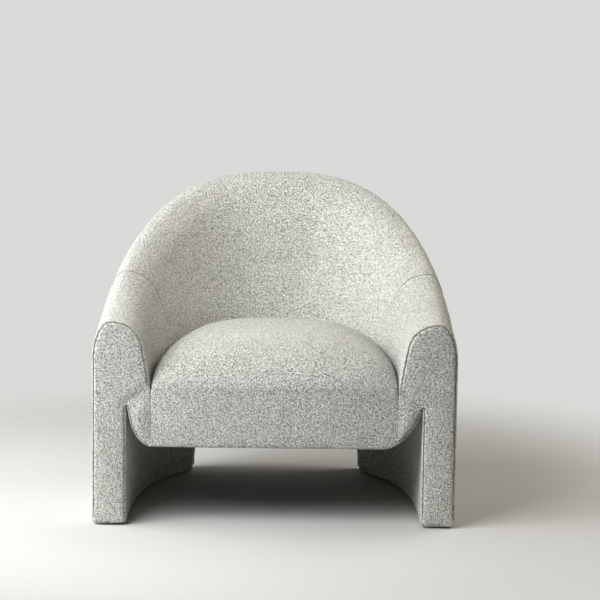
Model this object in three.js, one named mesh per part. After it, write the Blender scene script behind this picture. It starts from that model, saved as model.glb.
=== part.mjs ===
// Upholstered tub chair with slab legs.
// Millimetres, +Z up, the sitter looks along -Y. The origin is on the floor, in
// the middle of the chair's bounding box. A side of +1 is the +X side.
// The tub is one wall that runs from arm front to arm front round the back. A
// station is a place along the crest of that wall: it knows its crest point, the
// way out of the chair in plan, and the point of the seat crease that faces it.

import * as THREE from 'three';

// driving dimensions

// overall tub
const chairWidth = 820;
const chairDepth = 750;
const armHeight = 467;
const backRise = 284;
const crestRiseShare = 1.5;
const crestPlanShare = 2.8;

// rolled rim of the wall
const rimOutWidth = 42;
const rimOutDrop = 85;
const armRollWidth = 50;
const armRollDrop = 50;
const backRollWidth = 44;
const backRollDrop = 64;
const rollChangeShare = 0.55;

// how far the wall comes in towards the floor
const sideLean = 6;
const backLean = 100;
const leanTopDrop = 26;

// seat
const armBaseWidth = 132;
const backBaseDepth = 220;
const seatPlanShare = 2.25;
const seatTopHeight = 418;
const seatShoulderDrop = 106;
const creaseRise = 84;
const seatShoulderShare = 2.5;
const seatFrontRadius = 96;
const seatFaceCrown = 5;
const meetStartShare = 0.35;
const meetEndShare = 0.95;

// pod below the seat
const podDepth = 238;
const podCornerWidth = 98;
const podCornerHeight = 96;
const podCornerShare = 1.6;

// slab legs and the opening between them at the rear
const legThickness = 77;
const rearLegWrap = 198;
const rearLegEndInset = 40;
const archLipHeight = 8;
const rearOpeningShare = 2.6;

// upholstery
const coverThickness = 4;
const seamGap = 0.5;
const rimSeamGap = 2.5;
const archSeamGap = 1.6;
const waddingSpace = 3;
const creaseTuck = 14;
const facingBevel = 1.2;
const dustClothThickness = 1.5;

// timber and plywood frame
const plyThickness = 18;
const fitGap = 0.4;
const railClearance = 1.5;
const legEndRelief = 2.5;
const uprightRelief = 1.8;
const ribDepth = 45;
const ribHoleRadius = 15;
const ribHoleCount = 3;
const ribHoleEndShare = 0.335;
const seatRailThickness = 25;
const seatRailDrop = 6;
const seatRailLift = 52;
const sideRailShare = 0.7;
const rearRailSetback = 29;
const topRailWidth = 34;
const topRailHeight = 26;
const topRailDepth = 48;
const foamLipRise = 11;
const sideRailOffset = 2;
const sideRailLegGap = 24;
const cornerBlockLeg = 62;
const cornerBlockShare = 0.66;

// springs and webbing
const springCount = 4;
const springWire = 3.8;
const springLoopWidth = 46;
const springLoopPitch = 38;
const springArch = 10;
const springEnd = 9;
const clipWidth = 20;
const clipThickness = 1.6;
const clipTail = 16;
const webWidth = 50;
const webThickness = 1.6;
const webCount = 2;

// glides
const glideRadius = 15;
const glideHeight = 6;

// where the pieces change along the crest, as shares of its length front to back
const armBackSeamShare = 0.417;
const firstRibShare = 0.2;
const secondRibShare = 0.5;
const backRailShare = 0.62;
const webEndShare = 0.64;
const uprightTurnShare = 0.75;

// how finely the soft pieces are faceted
const armSteps = 5;
const backSteps = 8;
const legSteps = 9;
const archSteps = 6;
const wallRows = 5;
const seatColumns = 10;
const halfTurn = Math.PI;
const quarterTurn = Math.PI / 2;

// values that follow

const leanHeight = armHeight + backRise - rimOutDrop - leanTopDrop;
const frontY = -chairDepth / 2;
const crestHalfWidth = chairWidth / 2 - rimOutWidth;
const crestDepth = chairDepth - rimOutWidth;
const seatHalfWidth = chairWidth / 2 - armBaseWidth;
const seatDepth = chairDepth - backBaseDepth;
const creaseFrontHeight = seatTopHeight - seatShoulderDrop;
const podBottomHeight = seatTopHeight - podDepth;
const podSideHeight = creaseFrontHeight - creaseTuck - podBottomHeight;
const podNotchHeight = podBottomHeight + Math.min(podCornerHeight, podSideHeight);
const podFlatHalfWidth = chairWidth / 2 - legThickness - podCornerWidth;
const rearOpeningHalfWidth = chairWidth / 2 - rearLegWrap;
const rearOpeningHeight = podBottomHeight - archLipHeight;
const seatRailTop = creaseFrontHeight - creaseTuck - seatRailDrop;
const seatRailHeight = seatRailTop - podBottomHeight - seatRailLift;
const sideRailHeight = seatRailHeight * sideRailShare;
const cornerBlockHeight = seatRailHeight * cornerBlockShare;
const springSpacing = (2 * seatHalfWidth) / (springCount + 1);
const facingBackY = frontY + coverThickness;
const boardFrontY = facingBackY + fitGap;
const boardBackY = boardFrontY + plyThickness;
const frameInset = coverThickness + waddingSpace;
const frameBackInset = frameInset + ribDepth;
const foamBackInset = frameBackInset + webThickness + 2 * fitGap;
const deckHeight = seatRailTop + springWire + 2 * clipThickness + 4 * fitGap;
const basePlateTop = glideHeight + fitGap + plyThickness;
const frontRailY = boardBackY + fitGap;
const podFrontY = frontY + seatFaceCrown + coverThickness + 2 * seamGap;

// colours

const cloth = new THREE.MeshStandardMaterial({ color: 0xd6d2c6, roughness: 0.95, metalness: 0 });
const foamPad = new THREE.MeshStandardMaterial({ color: 0xe9e2c4, roughness: 0.9, metalness: 0 });
const plywood = new THREE.MeshStandardMaterial({ color: 0xc9a673, roughness: 0.7, metalness: 0 });
const hardwood = new THREE.MeshStandardMaterial({ color: 0xa9804f, roughness: 0.65, metalness: 0 });
const springSteel = new THREE.MeshStandardMaterial({ color: 0x8c8f94, roughness: 0.4, metalness: 1 });
const webbing = new THREE.MeshStandardMaterial({ color: 0x4a4038, roughness: 0.9, metalness: 0 });
const dustCloth = new THREE.MeshStandardMaterial({ color: 0x1b1b1c, roughness: 0.95, metalness: 0 });
const glidePlastic = new THREE.MeshStandardMaterial({ color: 0x161616, roughness: 0.5, metalness: 0 });

const chair = new THREE.Group();

function addMesh(name, geometry, material) {
  const mesh = new THREE.Mesh(geometry, material);
  mesh.name = name;
  chair.add(mesh);
  return mesh;
}

// small helpers

function mix(a, b, share) {
  return a + (b - a) * share;
}

function eased(share) {
  const t = Math.min(Math.max(share, 0), 1);
  return t * t * (3 - 2 * t);
}

// superellipse partner: the other coordinate, as a share, for one given as a share
function partner(share, power) {
  const rest = 1 - Math.pow(Math.min(Math.abs(share), 1), power);
  return Math.pow(Math.max(rest, 0), 1 / power);
}

// finds where a rising or falling function crosses zero between two ends
function crossing(low, high, value) {
  const rising = value(high) > value(low);
  let a = low;
  let b = high;
  for (let step = 0; step < 50; step += 1) {
    const middle = (a + b) / 2;
    if ((value(middle) > 0) === rising) {
      b = middle;
    } else {
      a = middle;
    }
  }
  return (a + b) / 2;
}

function signedVolume(positions, index) {
  let total = 0;
  const a = new THREE.Vector3();
  const b = new THREE.Vector3();
  const c = new THREE.Vector3();
  for (let i = 0; i < index.length; i += 3) {
    a.fromArray(positions, index[i] * 3);
    b.fromArray(positions, index[i + 1] * 3);
    c.fromArray(positions, index[i + 2] * 3);
    total += a.dot(b.cross(c));
  }
  return total;
}

// one closed body from points and triangles, turned so that its faces point out
function solid(points, index) {
  const positions = points.flatMap((p) => [p.x, p.y, p.z]);
  if (signedVolume(positions, index) < 0) {
    for (let i = 0; i < index.length; i += 3) {
      [index[i + 1], index[i + 2]] = [index[i + 2], index[i + 1]];
    }
  }
  const geometry = new THREE.BufferGeometry();
  geometry.setAttribute('position', new THREE.Float32BufferAttribute(positions, 3));
  geometry.setIndex(index);
  geometry.computeVertexNormals();
  return geometry;
}

// a closed body between two grids of points that have the same rows and columns
function slab(front, back) {
  const rows = front.length;
  const columns = front[0].length;
  const points = [...front.flat(), ...back.flat()];
  const index = [];
  const at = (layer, row, column) => (layer * rows + row) * columns + column;
  const quad = (a, b, c, d) => index.push(a, b, c, a, c, d);
  for (let row = 0; row < rows - 1; row += 1) {
    for (let column = 0; column < columns - 1; column += 1) {
      quad(at(0, row, column), at(0, row, column + 1), at(0, row + 1, column + 1), at(0, row + 1, column));
      quad(at(1, row, column), at(1, row + 1, column), at(1, row + 1, column + 1), at(1, row, column + 1));
    }
  }
  for (let row = 0; row < rows - 1; row += 1) {
    const last = columns - 1;
    quad(at(0, row, 0), at(0, row + 1, 0), at(1, row + 1, 0), at(1, row, 0));
    quad(at(0, row, last), at(1, row, last), at(1, row + 1, last), at(0, row + 1, last));
  }
  for (let column = 0; column < columns - 1; column += 1) {
    const last = rows - 1;
    quad(at(0, 0, column), at(1, 0, column), at(1, 0, column + 1), at(0, 0, column + 1));
    quad(at(0, last, column), at(0, last, column + 1), at(1, last, column + 1), at(1, last, column));
  }
  return solid(points, index);
}

// a closed body through rings of the same number of points
function loft(rings) {
  const count = rings[0].length;
  const points = rings.flat();
  const index = [];
  for (let ring = 0; ring < rings.length - 1; ring += 1) {
    for (let i = 0; i < count; i += 1) {
      const a = ring * count + i;
      const b = ring * count + ((i + 1) % count);
      index.push(a, b, b + count, a, b + count, a + count);
    }
  }
  const last = (rings.length - 1) * count;
  for (let i = 1; i < count - 1; i += 1) {
    index.push(0, i + 1, i);
    index.push(last, last + i, last + i + 1);
  }
  return solid(points, index);
}

function shapeOf(outline) {
  return new THREE.Shape(outline.map(([x, y]) => new THREE.Vector2(x, y)));
}

// the mitred shift of a corner between two unit directions, to the left of both
function cornerShift(before, after, distance) {
  const normal = new THREE.Vector2(-before.y - after.y, before.x + after.x).normalize();
  const spread = Math.max(normal.y * before.x - normal.x * before.y, 1 / 4);
  return normal.multiplyScalar(distance / spread);
}

// moves each point of an open line of points to its left
function offsetLine(line, distance) {
  const places = line.map(([x, y]) => new THREE.Vector2(x, y));
  const ways = places.slice(1).map((place, i) => place.clone().sub(places[i]).normalize());
  return places.map((place, i) => {
    const before = ways[Math.max(i - 1, 0)];
    const after = ways[Math.min(i, ways.length - 1)];
    const shift = cornerShift(before, after, distance);
    return [place.x + shift.x, place.y + shift.y];
  });
}

// insets a closed outline that turns anticlockwise; a sharp inner corner gets two points
function insetOutline(outline, distance) {
  const count = outline.length;
  return outline.flatMap(([x, y], i) => {
    const [ax, ay] = outline[(i + count - 1) % count];
    const [bx, by] = outline[(i + 1) % count];
    const before = new THREE.Vector2(x - ax, y - ay).normalize();
    const after = new THREE.Vector2(bx - x, by - y).normalize();
    if (before.cross(after) < 0 && before.dot(after) < 0) {
      return [before, after].map((way) => [x - way.y * distance, y + way.x * distance]);
    }
    const shift = cornerShift(before, after, distance);
    return [[x + shift.x, y + shift.y]];
  });
}

// the wall of the tub

function stationAt(side, angle) {
  const along = Math.pow(Math.sin(angle), 2 / crestPlanShare);
  const across = Math.pow(Math.max(Math.cos(angle), 0), 2 / crestPlanShare);
  const gradientX = Math.pow(across, crestPlanShare - 1) / crestHalfWidth;
  const gradientY = Math.pow(along, crestPlanShare - 1) / crestDepth;
  const steepness = Math.hypot(gradientX, gradientY);
  const x = side * crestHalfWidth * across;
  const y = frontY + crestDepth * along;
  const share = eased((along - meetStartShare) / (meetEndShare - meetStartShare));
  const level = (along * crestDepth) / seatDepth;
  const even = Math.pow(Math.sin(angle), 2 / seatPlanShare);
  const meet = Math.min(mix(level, even, share), 1);
  const seatX = side * seatHalfWidth * partner(meet, seatPlanShare);
  const seatY = frontY + seatDepth * meet;
  const reach = Math.hypot(seatX - x, seatY - y);
  const rise = (backRise / crestDepth) * crestRiseShare * Math.pow(along, crestRiseShare - 1);
  return {
    side,
    angle,
    along,
    meet,
    x,
    y,
    z: armHeight + backRise * Math.pow(along, crestRiseShare),
    outX: (side * gradientX) / steepness,
    outY: gradientY / steepness,
    inX: (seatX - x) / reach,
    inY: (seatY - y) / reach,
    reach,
    slope: (rise * gradientX) / steepness,
    seatX,
    seatY,
    seatZ: creaseFrontHeight + creaseRise * meet,
  };
}

function angleAtShare(along) {
  return Math.asin(Math.pow(along, crestPlanShare / 2));
}

function angleAtY(y) {
  return angleAtShare((y - frontY) / crestDepth);
}

// distance from the crest, along the way out, to the wall's outer face at a height
function outOffset(station, z) {
  const rollStart = station.z - rimOutDrop;
  const up = Math.min(Math.max((z - rollStart) / rimOutDrop, 0), 1);
  const lean = sideLean * station.outX ** 2 + backLean * station.outY ** 2;
  return rimOutWidth * Math.sqrt(1 - up * up) - lean * Math.max(1 - z / leanHeight, 0);
}

function wallPoint(station, z, inset) {
  const offset = outOffset(station, z) - inset;
  return new THREE.Vector3(station.x + station.outX * offset, station.y + station.outY * offset, z);
}

// a point of a section of the wall: negative is outside the crest, positive inside
function sectionPoint(station, [inward, z]) {
  const [dx, dy] = inward < 0 ? [-station.outX, -station.outY] : [station.inX, station.inY];
  return new THREE.Vector3(station.x + dx * inward, station.y + dy * inward, z);
}

function rollOf(station) {
  const share = eased(station.along / rollChangeShare);
  return {
    width: mix(armRollWidth, backRollWidth, share),
    drop: mix(armRollDrop, backRollDrop, share),
  };
}

// how far inside the crest the visible inner face is, at a depth below the crest
function inOffset(station, depth) {
  const roll = rollOf(station);
  const fall = station.z - station.seatZ;
  const share = Math.min(depth / roll.drop, 1);
  return roll.width * Math.sqrt(1 - (1 - share) ** 2) + ((station.reach - roll.width) * depth) / fall;
}

// the visible section, from the outside of the rim over the crest to the crease
function rimSection(station, turnShares, fallShares) {
  const roll = rollOf(station);
  const fall = station.z - station.seatZ;
  const outside = turnShares.map((share) => {
    const turn = share * quarterTurn;
    const up = rimOutDrop * Math.sin(turn);
    return [-rimOutWidth * Math.cos(turn), station.z - rimOutDrop + up];
  });
  const inside = turnShares.slice(1).map((share) => {
    const depth = roll.drop * (1 - Math.cos(share * quarterTurn));
    return [inOffset(station, depth), station.z - depth];
  });
  const below = fallShares.map((share) => {
    const depth = mix(roll.drop, fall, share);
    return [inOffset(station, depth), station.z - depth];
  });
  return [...outside, ...inside, ...below];
}

const turnShares = [0, 0.36, 0.7, 1];
const fallShares = [0.25, 0.5, 0.75, 1];

// stations

function evenStations(side, fromY, toShare, steps) {
  const from = (fromY - frontY) / crestDepth;
  const list = [];
  for (let step = 0; step <= steps; step += 1) {
    list.push(stationAt(side, angleAtShare(mix(from, toShare, step / steps))));
  }
  return list;
}

// from the arm-to-back seam on one side to the other, evenly by angle
function backStations(fromShare, steps) {
  const from = angleAtShare(fromShare);
  const list = [];
  for (let step = 0; step <= 2 * steps; step += 1) {
    const angle = mix(from, quarterTurn, step <= steps ? step / steps : 2 - step / steps);
    list.push(stationAt(step <= steps ? -1 : 1, angle));
  }
  return list;
}

function archHeightAt(x) {
  return rearOpeningHeight * partner(x / rearOpeningHalfWidth, rearOpeningShare);
}

function archPoint(share) {
  const x = rearOpeningHalfWidth * Math.cos(share * quarterTurn);
  return { x, z: Math.max(archHeightAt(x), glideHeight) };
}

// the station whose wall stands at a given x, at a height and an inset
function angleAtX(x, z, inset) {
  const top = quarterTurn - Number.EPSILON;
  const excess = (angle) => wallPoint(stationAt(1, angle), z, inset).x - x;
  return crossing(angleAtShare(meetStartShare), top, excess);
}

// stations of a wall face that stands on the floor and rises over the rear opening
function wallStations(inset, startY) {
  const foot = archPoint(0);
  const footAngle = angleAtX(foot.x, foot.z, inset);
  const startShare = (startY - frontY) / crestDepth;
  const footShare = stationAt(1, footAngle).along;
  const half = [];
  for (let step = 0; step < legSteps; step += 1) {
    const share = step / legSteps;
    const byDepth = angleAtShare(mix(startShare, footShare, share));
    const byTurn = mix(angleAtShare(startShare), footAngle, share);
    half.push({ angle: mix(byDepth, byTurn, share), bottom: glideHeight });
  }
  for (let step = 0; step <= archSteps; step += 1) {
    const point = archPoint(step / archSteps);
    const angle = step === archSteps ? quarterTurn : angleAtX(point.x, point.z, inset);
    half.push({ angle, bottom: point.z });
  }
  return half;
}

// height of the pod's underside over the floor, at a distance from the middle
function podHeightAt(x, wallX) {
  const share = Math.max(Math.abs(x) - podFlatHalfWidth, 0) / (wallX - podFlatHalfWidth);
  const rise = podNotchHeight - podBottomHeight;
  return podBottomHeight + rise * (1 - partner(share, podCornerShare));
}

const notchX = wallPoint(stationAt(1, 0), podNotchHeight, legThickness).x;
const sideRailLimit = notchX - seatRailThickness - sideRailLegGap;
const sideRailX = Math.min(seatHalfWidth + sideRailOffset, sideRailLimit);

// covers that wrap the wall

function rimCover(stations) {
  const outer = stations.map((station) => {
    const line = rimSection(station, turnShares, fallShares);
    const [lastX, lastZ] = line[line.length - 1];
    return [...line, [lastX, lastZ - creaseTuck]];
  });
  const face = stations.map((station, i) => outer[i].map((point) => sectionPoint(station, point)));
  const back = stations.map((station, i) => {
    const line = offsetLine(outer[i], -coverThickness);
    return line.map((point) => sectionPoint(station, point));
  });
  return slab(face, back);
}

function makeInsideCovers() {
  const seamShift = seamGap / crestDepth;
  for (const side of [-1, 1]) {
    const stations = evenStations(side, facingBackY + seamGap, armBackSeamShare - seamShift, armSteps);
    addMesh(side < 0 ? 'arm_cover_left' : 'arm_cover_right', rimCover(stations), cloth);
  }
  addMesh('inside_back_cover', rimCover(backStations(armBackSeamShare, backSteps)), cloth);
}

function wallSheet(half, sides, insets, topOf) {
  const list = [];
  if (sides.includes(-1)) {
    half.forEach((entry) => list.push({ side: -1, ...entry }));
  }
  if (sides.includes(1)) {
    const reversed = [...half].reverse();
    reversed.slice(sides.includes(-1) ? 1 : 0).forEach((entry) => list.push({ side: 1, ...entry }));
  }
  const grid = (inset) => list.map((entry) => {
    const station = stationAt(entry.side, entry.angle);
    const top = topOf(station);
    const column = [];
    for (let row = 0; row <= wallRows; row += 1) {
      column.push(wallPoint(station, mix(entry.bottom, top, row / wallRows), inset));
    }
    return column;
  });
  return slab(grid(insets[0]), grid(insets[1]));
}

function makeOutsideCover() {
  const half = wallStations(0, facingBackY + seamGap);
  const top = (station) => station.z - rimOutDrop - rimSeamGap;
  addMesh('outside_cover', wallSheet(half, [-1, 1], [0, coverThickness], top), cloth);
}

function makeLegLinings() {
  const half = wallStations(legThickness, facingBackY + seamGap);
  const centreShift = seamGap / crestHalfWidth;
  half[half.length - 1].angle -= centreShift;
  const top = (station) => {
    const x = wallPoint(station, podBottomHeight, legThickness).x;
    return podHeightAt(x, notchX);
  };
  const insets = [legThickness, legThickness - coverThickness];
  addMesh('leg_lining_left', wallSheet(half, [-1], insets, top), cloth);
  addMesh('leg_lining_right', wallSheet(half, [1], insets, top), cloth);
}

// the band that lines the rear opening, from one leg end over to the other
function makeArchCover() {
  const edgeInset = coverThickness + archSeamGap;
  const line = [];
  for (let step = -archSteps; step <= archSteps; step += 1) {
    const point = archPoint(1 - Math.abs(step) / archSteps);
    line.push([Math.sign(step) * point.x, point.z]);
  }
  const upper = offsetLine(line, coverThickness);
  const depthAt = (x, z, inset) => {
    const angle = Math.abs(x) < seamGap ? quarterTurn : angleAtX(Math.abs(x), z, inset);
    return wallPoint(stationAt(1, angle), z, inset).y;
  };
  const grid = (points) => points.map(([x, z]) => {
    const inner = depthAt(x, z, legThickness - edgeInset);
    const outer = depthAt(x, z, edgeInset);
    return [0, 1 / 2, 1].map((share) => new THREE.Vector3(x, mix(inner, outer, share), z));
  });
  addMesh('rear_arch_cover', slab(grid(line), grid(upper)), cloth);
}

// the rounded lower corners of the pod, between the dust cloth and the legs
function makeUndersideCovers() {
  const half = wallStations(legThickness, podFrontY);
  const columns = [0, 0.3, 0.6, 0.85, 1];
  for (const side of [-1, 1]) {
    const face = [];
    const back = [];
    for (const entry of half) {
      const wall = wallPoint(stationAt(1, entry.angle), podBottomHeight, legThickness);
      const width = wall.x - seamGap - podFlatHalfWidth;
      if (width > coverThickness * 4) {
        const line = columns.map((share) => {
          const x = podFlatHalfWidth + width * share;
          return [x, podHeightAt(x, notchX)];
        });
        const raised = offsetLine(line, coverThickness);
        raised[raised.length - 1][0] = line[line.length - 1][0];
        raised[0][0] = line[0][0];
        face.push(line.map(([x, z]) => new THREE.Vector3(side * x, wall.y, z)));
        back.push(raised.map(([x, z]) => new THREE.Vector3(side * x, wall.y, z)));
      }
    }
    addMesh(side < 0 ? 'underside_cover_left' : 'underside_cover_right', slab(face, back), cloth);
  }
}

function makeDustCloth() {
  const reach = podFlatHalfWidth - seamGap;
  const half = wallStations(legThickness, podFrontY);
  const right = half
    .map((entry) => wallPoint(stationAt(1, entry.angle), podBottomHeight, legThickness + 2 * seamGap))
    .filter((point) => point.y > 0)
    .map((point) => [Math.min(point.x, reach), point.y]);
  const outline = [[reach, podFrontY], ...right];
  const left = [...outline].reverse().slice(1).map(([x, y]) => [-x, y]);
  const geometry = new THREE.ExtrudeGeometry(shapeOf([...outline, ...left]), {
    depth: dustClothThickness,
    bevelEnabled: false,
  });
  const mesh = addMesh('dust_cloth', geometry, dustCloth);
  mesh.position.z = podBottomHeight;
}

// arm fronts

// outline of an arm front with its leg and its half of the pod, anticlockwise
function armFrontOutline(cornerShares) {
  const station = stationAt(1, angleAtY(frontY));
  const outside = [glideHeight, rearOpeningHeight, podNotchHeight].map((z) => {
    const point = wallPoint(station, z, 0);
    return [point.x, point.z];
  });
  const fineTurns = [0, 0.2, 0.4, 0.6, 0.8, 1];
  const rim = rimSection(station, fineTurns, fallShares);
  const arch = rim.map(([inward, z]) => [station.x - inward, z]);
  const seamX = seatHalfWidth + seamGap;
  arch[arch.length - 1][0] = seamX;
  const corner = cornerShares.map((share) => {
    const x = mix(seamX, notchX, share);
    return [x, podHeightAt(x, notchX)];
  });
  const inner = [rearOpeningHeight, glideHeight].map((z) => {
    const point = wallPoint(station, z, legThickness);
    return [point.x, point.z];
  });
  return [...outside, ...arch, ...corner, ...inner];
}

function mirrored(outline, side) {
  return side > 0 ? outline : outline.map(([x, y]) => [-x, y]).reverse();
}

// stands a flat outline, drawn in X and Z, up as a plate that starts at a Y
function uprightPlate(name, outline, startY, thickness, material, bevel, holes) {
  const shape = shapeOf(outline);
  holes.forEach(([x, z, radius]) => {
    const hole = new THREE.Path();
    hole.absarc(x, z, radius, 0, 2 * halfTurn, true);
    shape.holes.push(hole);
  });
  const geometry = new THREE.ExtrudeGeometry(shape, {
    depth: thickness - 2 * bevel,
    bevelEnabled: bevel > 0,
    bevelThickness: bevel,
    bevelSize: bevel,
    bevelOffset: -bevel,
    bevelSegments: 1,
    curveSegments: 5,
  });
  const mesh = addMesh(name, geometry, material);
  mesh.rotation.x = quarterTurn;
  mesh.position.y = startY + thickness - bevel;
  return mesh;
}

function makeArmFronts() {
  const outline = armFrontOutline([0, 0.25, 0.5, 0.75, 0.92, 1]);
  const board = insetOutline(armFrontOutline([0, 0.5, 0.75, 0.92, 1]), frameInset);
  const legMiddle = (notchX + chairWidth / 2) / 2;
  for (const side of [-1, 1]) {
    const end = side < 0 ? 'left' : 'right';
    const cover = mirrored(outline, side);
    uprightPlate(`arm_front_cover_${end}`, cover, frontY, coverThickness, cloth, facingBevel, []);
    const holes = [];
    const spacing = podNotchHeight / (ribHoleCount + 1);
    for (let hole = 1; hole <= ribHoleCount; hole += 1) {
      holes.push([side * legMiddle, hole * spacing, ribHoleRadius]);
    }
    const former = mirrored(board, side);
    uprightPlate(`arm_front_board_${end}`, former, boardFrontY, plyThickness, plywood, 0, holes);
  }
}

// ribs, uprights and rails of the tub

// outline of a rib in its own plane: distance out from the crest, and height
function ribOutline(station, bottom, legged, relief) {
  const railDrop = topRailDepth + topRailHeight + station.slope * plyThickness;
  const top = station.z - railDrop - 2 * fitGap;
  const heights = [];
  const steps = 6;
  for (let step = 0; step <= steps; step += 1) {
    heights.push(mix(bottom, top, step / steps));
  }
  const outside = heights.map((z) => [outOffset(station, z) - frameInset - relief, z]);
  const slim = (z) => outOffset(station, z) - frameBackInset + relief;
  const deep = (z) => outOffset(station, z) - legThickness + frameInset;
  const shelf = seatRailTop - seatRailHeight - fitGap;
  const inside = [];
  if (legged) {
    inside.push([slim(top), top]);
    inside.push([slim(shelf), shelf]);
    inside.push([deep(shelf), shelf]);
    inside.push([deep(bottom), bottom]);
  } else {
    [...heights].reverse().forEach((z) => inside.push([slim(z), z]));
  }
  return [...outside, ...inside];
}

// a plywood rib that stands across the wall at a station
function addRib(name, station, bottom, legged, relief) {
  const shape = shapeOf(ribOutline(station, bottom, legged, relief));
  if (legged) {
    const shelf = seatRailTop - seatRailHeight;
    const spacing = (shelf - bottom) / (ribHoleCount + ribHoleEndShare);
    for (let hole = 1; hole <= ribHoleCount; hole += 1) {
      const z = bottom + hole * spacing;
      const path = new THREE.Path();
      path.absarc(outOffset(station, z) - legThickness / 2, z, ribHoleRadius, 0, 2 * halfTurn, true);
      shape.holes.push(path);
    }
  }
  const geometry = new THREE.ExtrudeGeometry(shape, {
    depth: plyThickness,
    bevelEnabled: false,
    curveSegments: 5,
  });
  const out = new THREE.Vector3(station.outX, station.outY, 0);
  const up = new THREE.Vector3(0, 0, 1);
  const across = new THREE.Vector3().crossVectors(out, up);
  const mesh = addMesh(name, geometry, plywood);
  mesh.quaternion.setFromRotationMatrix(new THREE.Matrix4().makeBasis(out, up, across));
  mesh.position.set(station.x, station.y, 0).addScaledVector(across, -plyThickness / 2);
  return mesh;
}

function legEndAngle() {
  return angleAtX(rearOpeningHalfWidth + rearLegEndInset, basePlateTop, legThickness - frameInset);
}

function makeRibs() {
  const ribAngles = [angleAtShare(firstRibShare), angleAtShare(secondRibShare), legEndAngle()];
  const names = ['side_rib_front', 'side_rib_rear', 'leg_end_rib'];
  for (const side of [-1, 1]) {
    const end = side < 0 ? 'left' : 'right';
    ribAngles.forEach((angle, i) => {
      const relief = i < 2 ? 0 : legEndRelief;
      addRib(`${names[i]}_${end}`, stationAt(side, angle), basePlateTop + fitGap, true, relief);
    });
  }
  const uprightBottom = podBottomHeight + frameInset;
  addRib('back_upright_centre', stationAt(1, quarterTurn), uprightBottom, false, 0);
  for (const side of [-1, 1]) {
    const angle = mix(angleAtShare(backRailShare), quarterTurn, uprightTurnShare);
    const name = side < 0 ? 'back_upright_left' : 'back_upright_right';
    addRib(name, stationAt(side, angle), uprightBottom, false, uprightRelief);
  }
}

// curved plywood plate under each leg
function makeBasePlates() {
  const steps = legSteps * 2;
  const footAngle = angleAtX(rearOpeningHalfWidth + frameInset + waddingSpace, glideHeight, legThickness);
  const startShare = (boardBackY + fitGap - frontY) / crestDepth;
  const endShare = stationAt(1, footAngle).along;
  const outer = [];
  const inner = [];
  for (let step = 0; step <= steps; step += 1) {
    const station = stationAt(1, angleAtShare(mix(startShare, endShare, step / steps)));
    const out = wallPoint(station, glideHeight, frameInset);
    const into = wallPoint(station, glideHeight, legThickness - frameInset);
    outer.push([out.x, out.y]);
    inner.push([into.x, into.y]);
  }
  const outline = [...outer, ...inner.reverse()];
  for (const side of [-1, 1]) {
    const geometry = new THREE.ExtrudeGeometry(shapeOf(mirrored(outline, side)), {
      depth: plyThickness,
      bevelEnabled: false,
    });
    const mesh = addMesh(side < 0 ? 'base_plate_left' : 'base_plate_right', geometry, plywood);
    mesh.position.z = glideHeight + fitGap;
  }
}

function railRing(station) {
  const top = station.z - topRailDepth;
  const bottom = top - topRailHeight;
  const half = topRailWidth / 2;
  return [[-half, bottom], [-half, top], [half, top], [half, bottom]].map(([offset, z]) => {
    return new THREE.Vector3(station.x - station.outX * offset, station.y - station.outY * offset, z);
  });
}

// stations of what lies inside an arm, from the arm front board to the back
function armStations(side) {
  const shift = seamGap / crestDepth;
  return evenStations(side, boardBackY + fitGap, armBackSeamShare - shift, armSteps);
}

function makeTopRails() {
  for (const side of [-1, 1]) {
    addMesh(side < 0 ? 'arm_rail_left' : 'arm_rail_right', loft(armStations(side).map(railRing)), hardwood);
  }
  addMesh('back_top_rail', loft(backStations(armBackSeamShare, backSteps).map(railRing)), hardwood);
}

function boxAt(name, size, centre, material) {
  const mesh = addMesh(name, new THREE.BoxGeometry(...size), material);
  mesh.position.set(...centre);
  return mesh;
}

// seat frame

// the laminated rail that ties the ribs and uprights together behind the seat
function backRailRing(station) {
  const outerInset = frameBackInset + fitGap;
  const bottom = seatRailTop - seatRailHeight;
  return [
    wallPoint(station, bottom, outerInset),
    wallPoint(station, seatRailTop, outerInset),
    wallPoint(station, seatRailTop, outerInset + seatRailThickness),
    wallPoint(station, bottom, outerInset + seatRailThickness),
  ];
}

function makeBackRail() {
  const stations = backStations(backRailShare, backSteps);
  addMesh('curved_back_rail', loft(stations.map(backRailRing)), hardwood);
}

// the rail that holds the springs stands in front of the curved back rail
const backRailFace = wallPoint(
  stationAt(1, quarterTurn),
  seatRailTop - seatRailHeight,
  frameBackInset + fitGap + seatRailThickness,
).y;
const rearRailY = backRailFace - rearRailSetback - seatRailThickness;

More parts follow.
